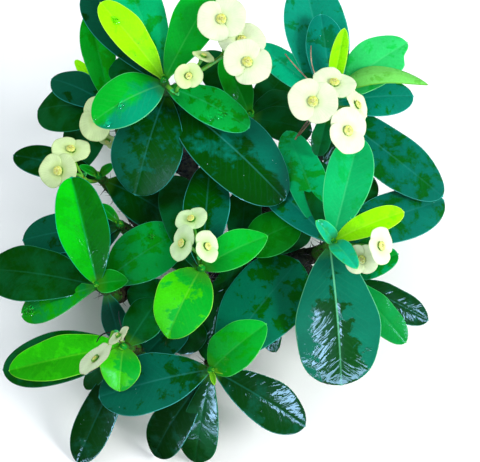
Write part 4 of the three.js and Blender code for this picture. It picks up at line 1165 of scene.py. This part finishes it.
studio = {
    "camera": (0.010, -0.3023, 0.9007), "tilt": 20.0, "lens": 116.4, "middle": (0, 0, 0.07),
    "floor": "#FFFFFF", "floorHalf": 1500, "world": ("#F0F6FA", 0.64), "daylight": "#A6D2FF",
    # soft lights that brighten the plant but leave no shine on it
    "soft": {
        "key": dict(place=(1.6, -0.45, 1.3), size=(0.8, 0.8), power=42, colour="#FFFFFF"),
        "fill": dict(place=(-1.1, 0.5, 1.7), size=(1.2, 1.2), power=17, colour="#F0F6FF"),
    },
    # panes that are only seen as the shine on wet leaves
    "panes": {
        "window": dict(place=(-0.05, -1.0, 0.45), size=(0.26, 0.75), power=27),
        "doorway": dict(place=(0.95, -0.1, 0.34), size=(0.2, 0.5), power=12),
        "sill": dict(place=(0.15, -0.9, -0.14), size=(1.6, 0.16), power=20),
    },
}


def softBox(name, place, size, power, colour, shines):
    light = bpy.data.lights.new(name, "AREA")
    light.shape, light.energy = "RECTANGLE", power
    light.size, light.size_y = size
    light.color = linearColour(colour)[:3]
    box = bpy.data.objects.new(name, light)
    scene.collection.objects.link(box)
    box.location = place
    box.rotation_euler = (Vector(place) - Vector(studio["middle"])).to_track_quat("Z", "Y").to_euler()
    box.visible_diffuse, box.visible_glossy = not shines, shines


def setUpStudio():
    camera = bpy.data.cameras.new("camera")
    camera.lens, camera.sensor_width, camera.clip_start = studio["lens"], 36, 0.01
    eye = bpy.data.objects.new("camera", camera)
    scene.collection.objects.link(eye)
    eye.location = studio["camera"]
    eye.rotation_euler = (math.radians(studio["tilt"]), 0, 0)
    scene.camera = eye
    for name, light in studio["soft"].items():
        softBox(name, shines=False, **light)
    for name, light in studio["panes"].items():
        softBox(name, colour=studio["daylight"], shines=True, **light)
    world = bpy.data.worlds.new("studio air")
    world.use_nodes = True
    scene.world = world
    colour, strength = studio["world"]
    fillInputs(world.node_tree, world.node_tree.nodes["Background"], {"Color": colour, "Strength": strength})
    world.cycles_visibility.glossy = False
    scene.view_settings.view_transform = "Standard"
    # matt paper: plain, pale and without any shine
    paper = bpy.data.materials.new("matt paper floor")
    paper.use_nodes = True
    setShader(paper, Base_Color=studio["floor"], Roughness=0.9, Specular_IOR_Level=0.0)
    half = studio["floorHalf"]
    corners = [(-half, -half, 0), (half, -half, 0), (half, half, 0), (-half, half, 0)]
    floor = makeMesh("floor", corners, [(0, 1, 2, 3)], skins=[paper], smooth=False)
    floor.visible_glossy = False


setUpStudio()

print("done")
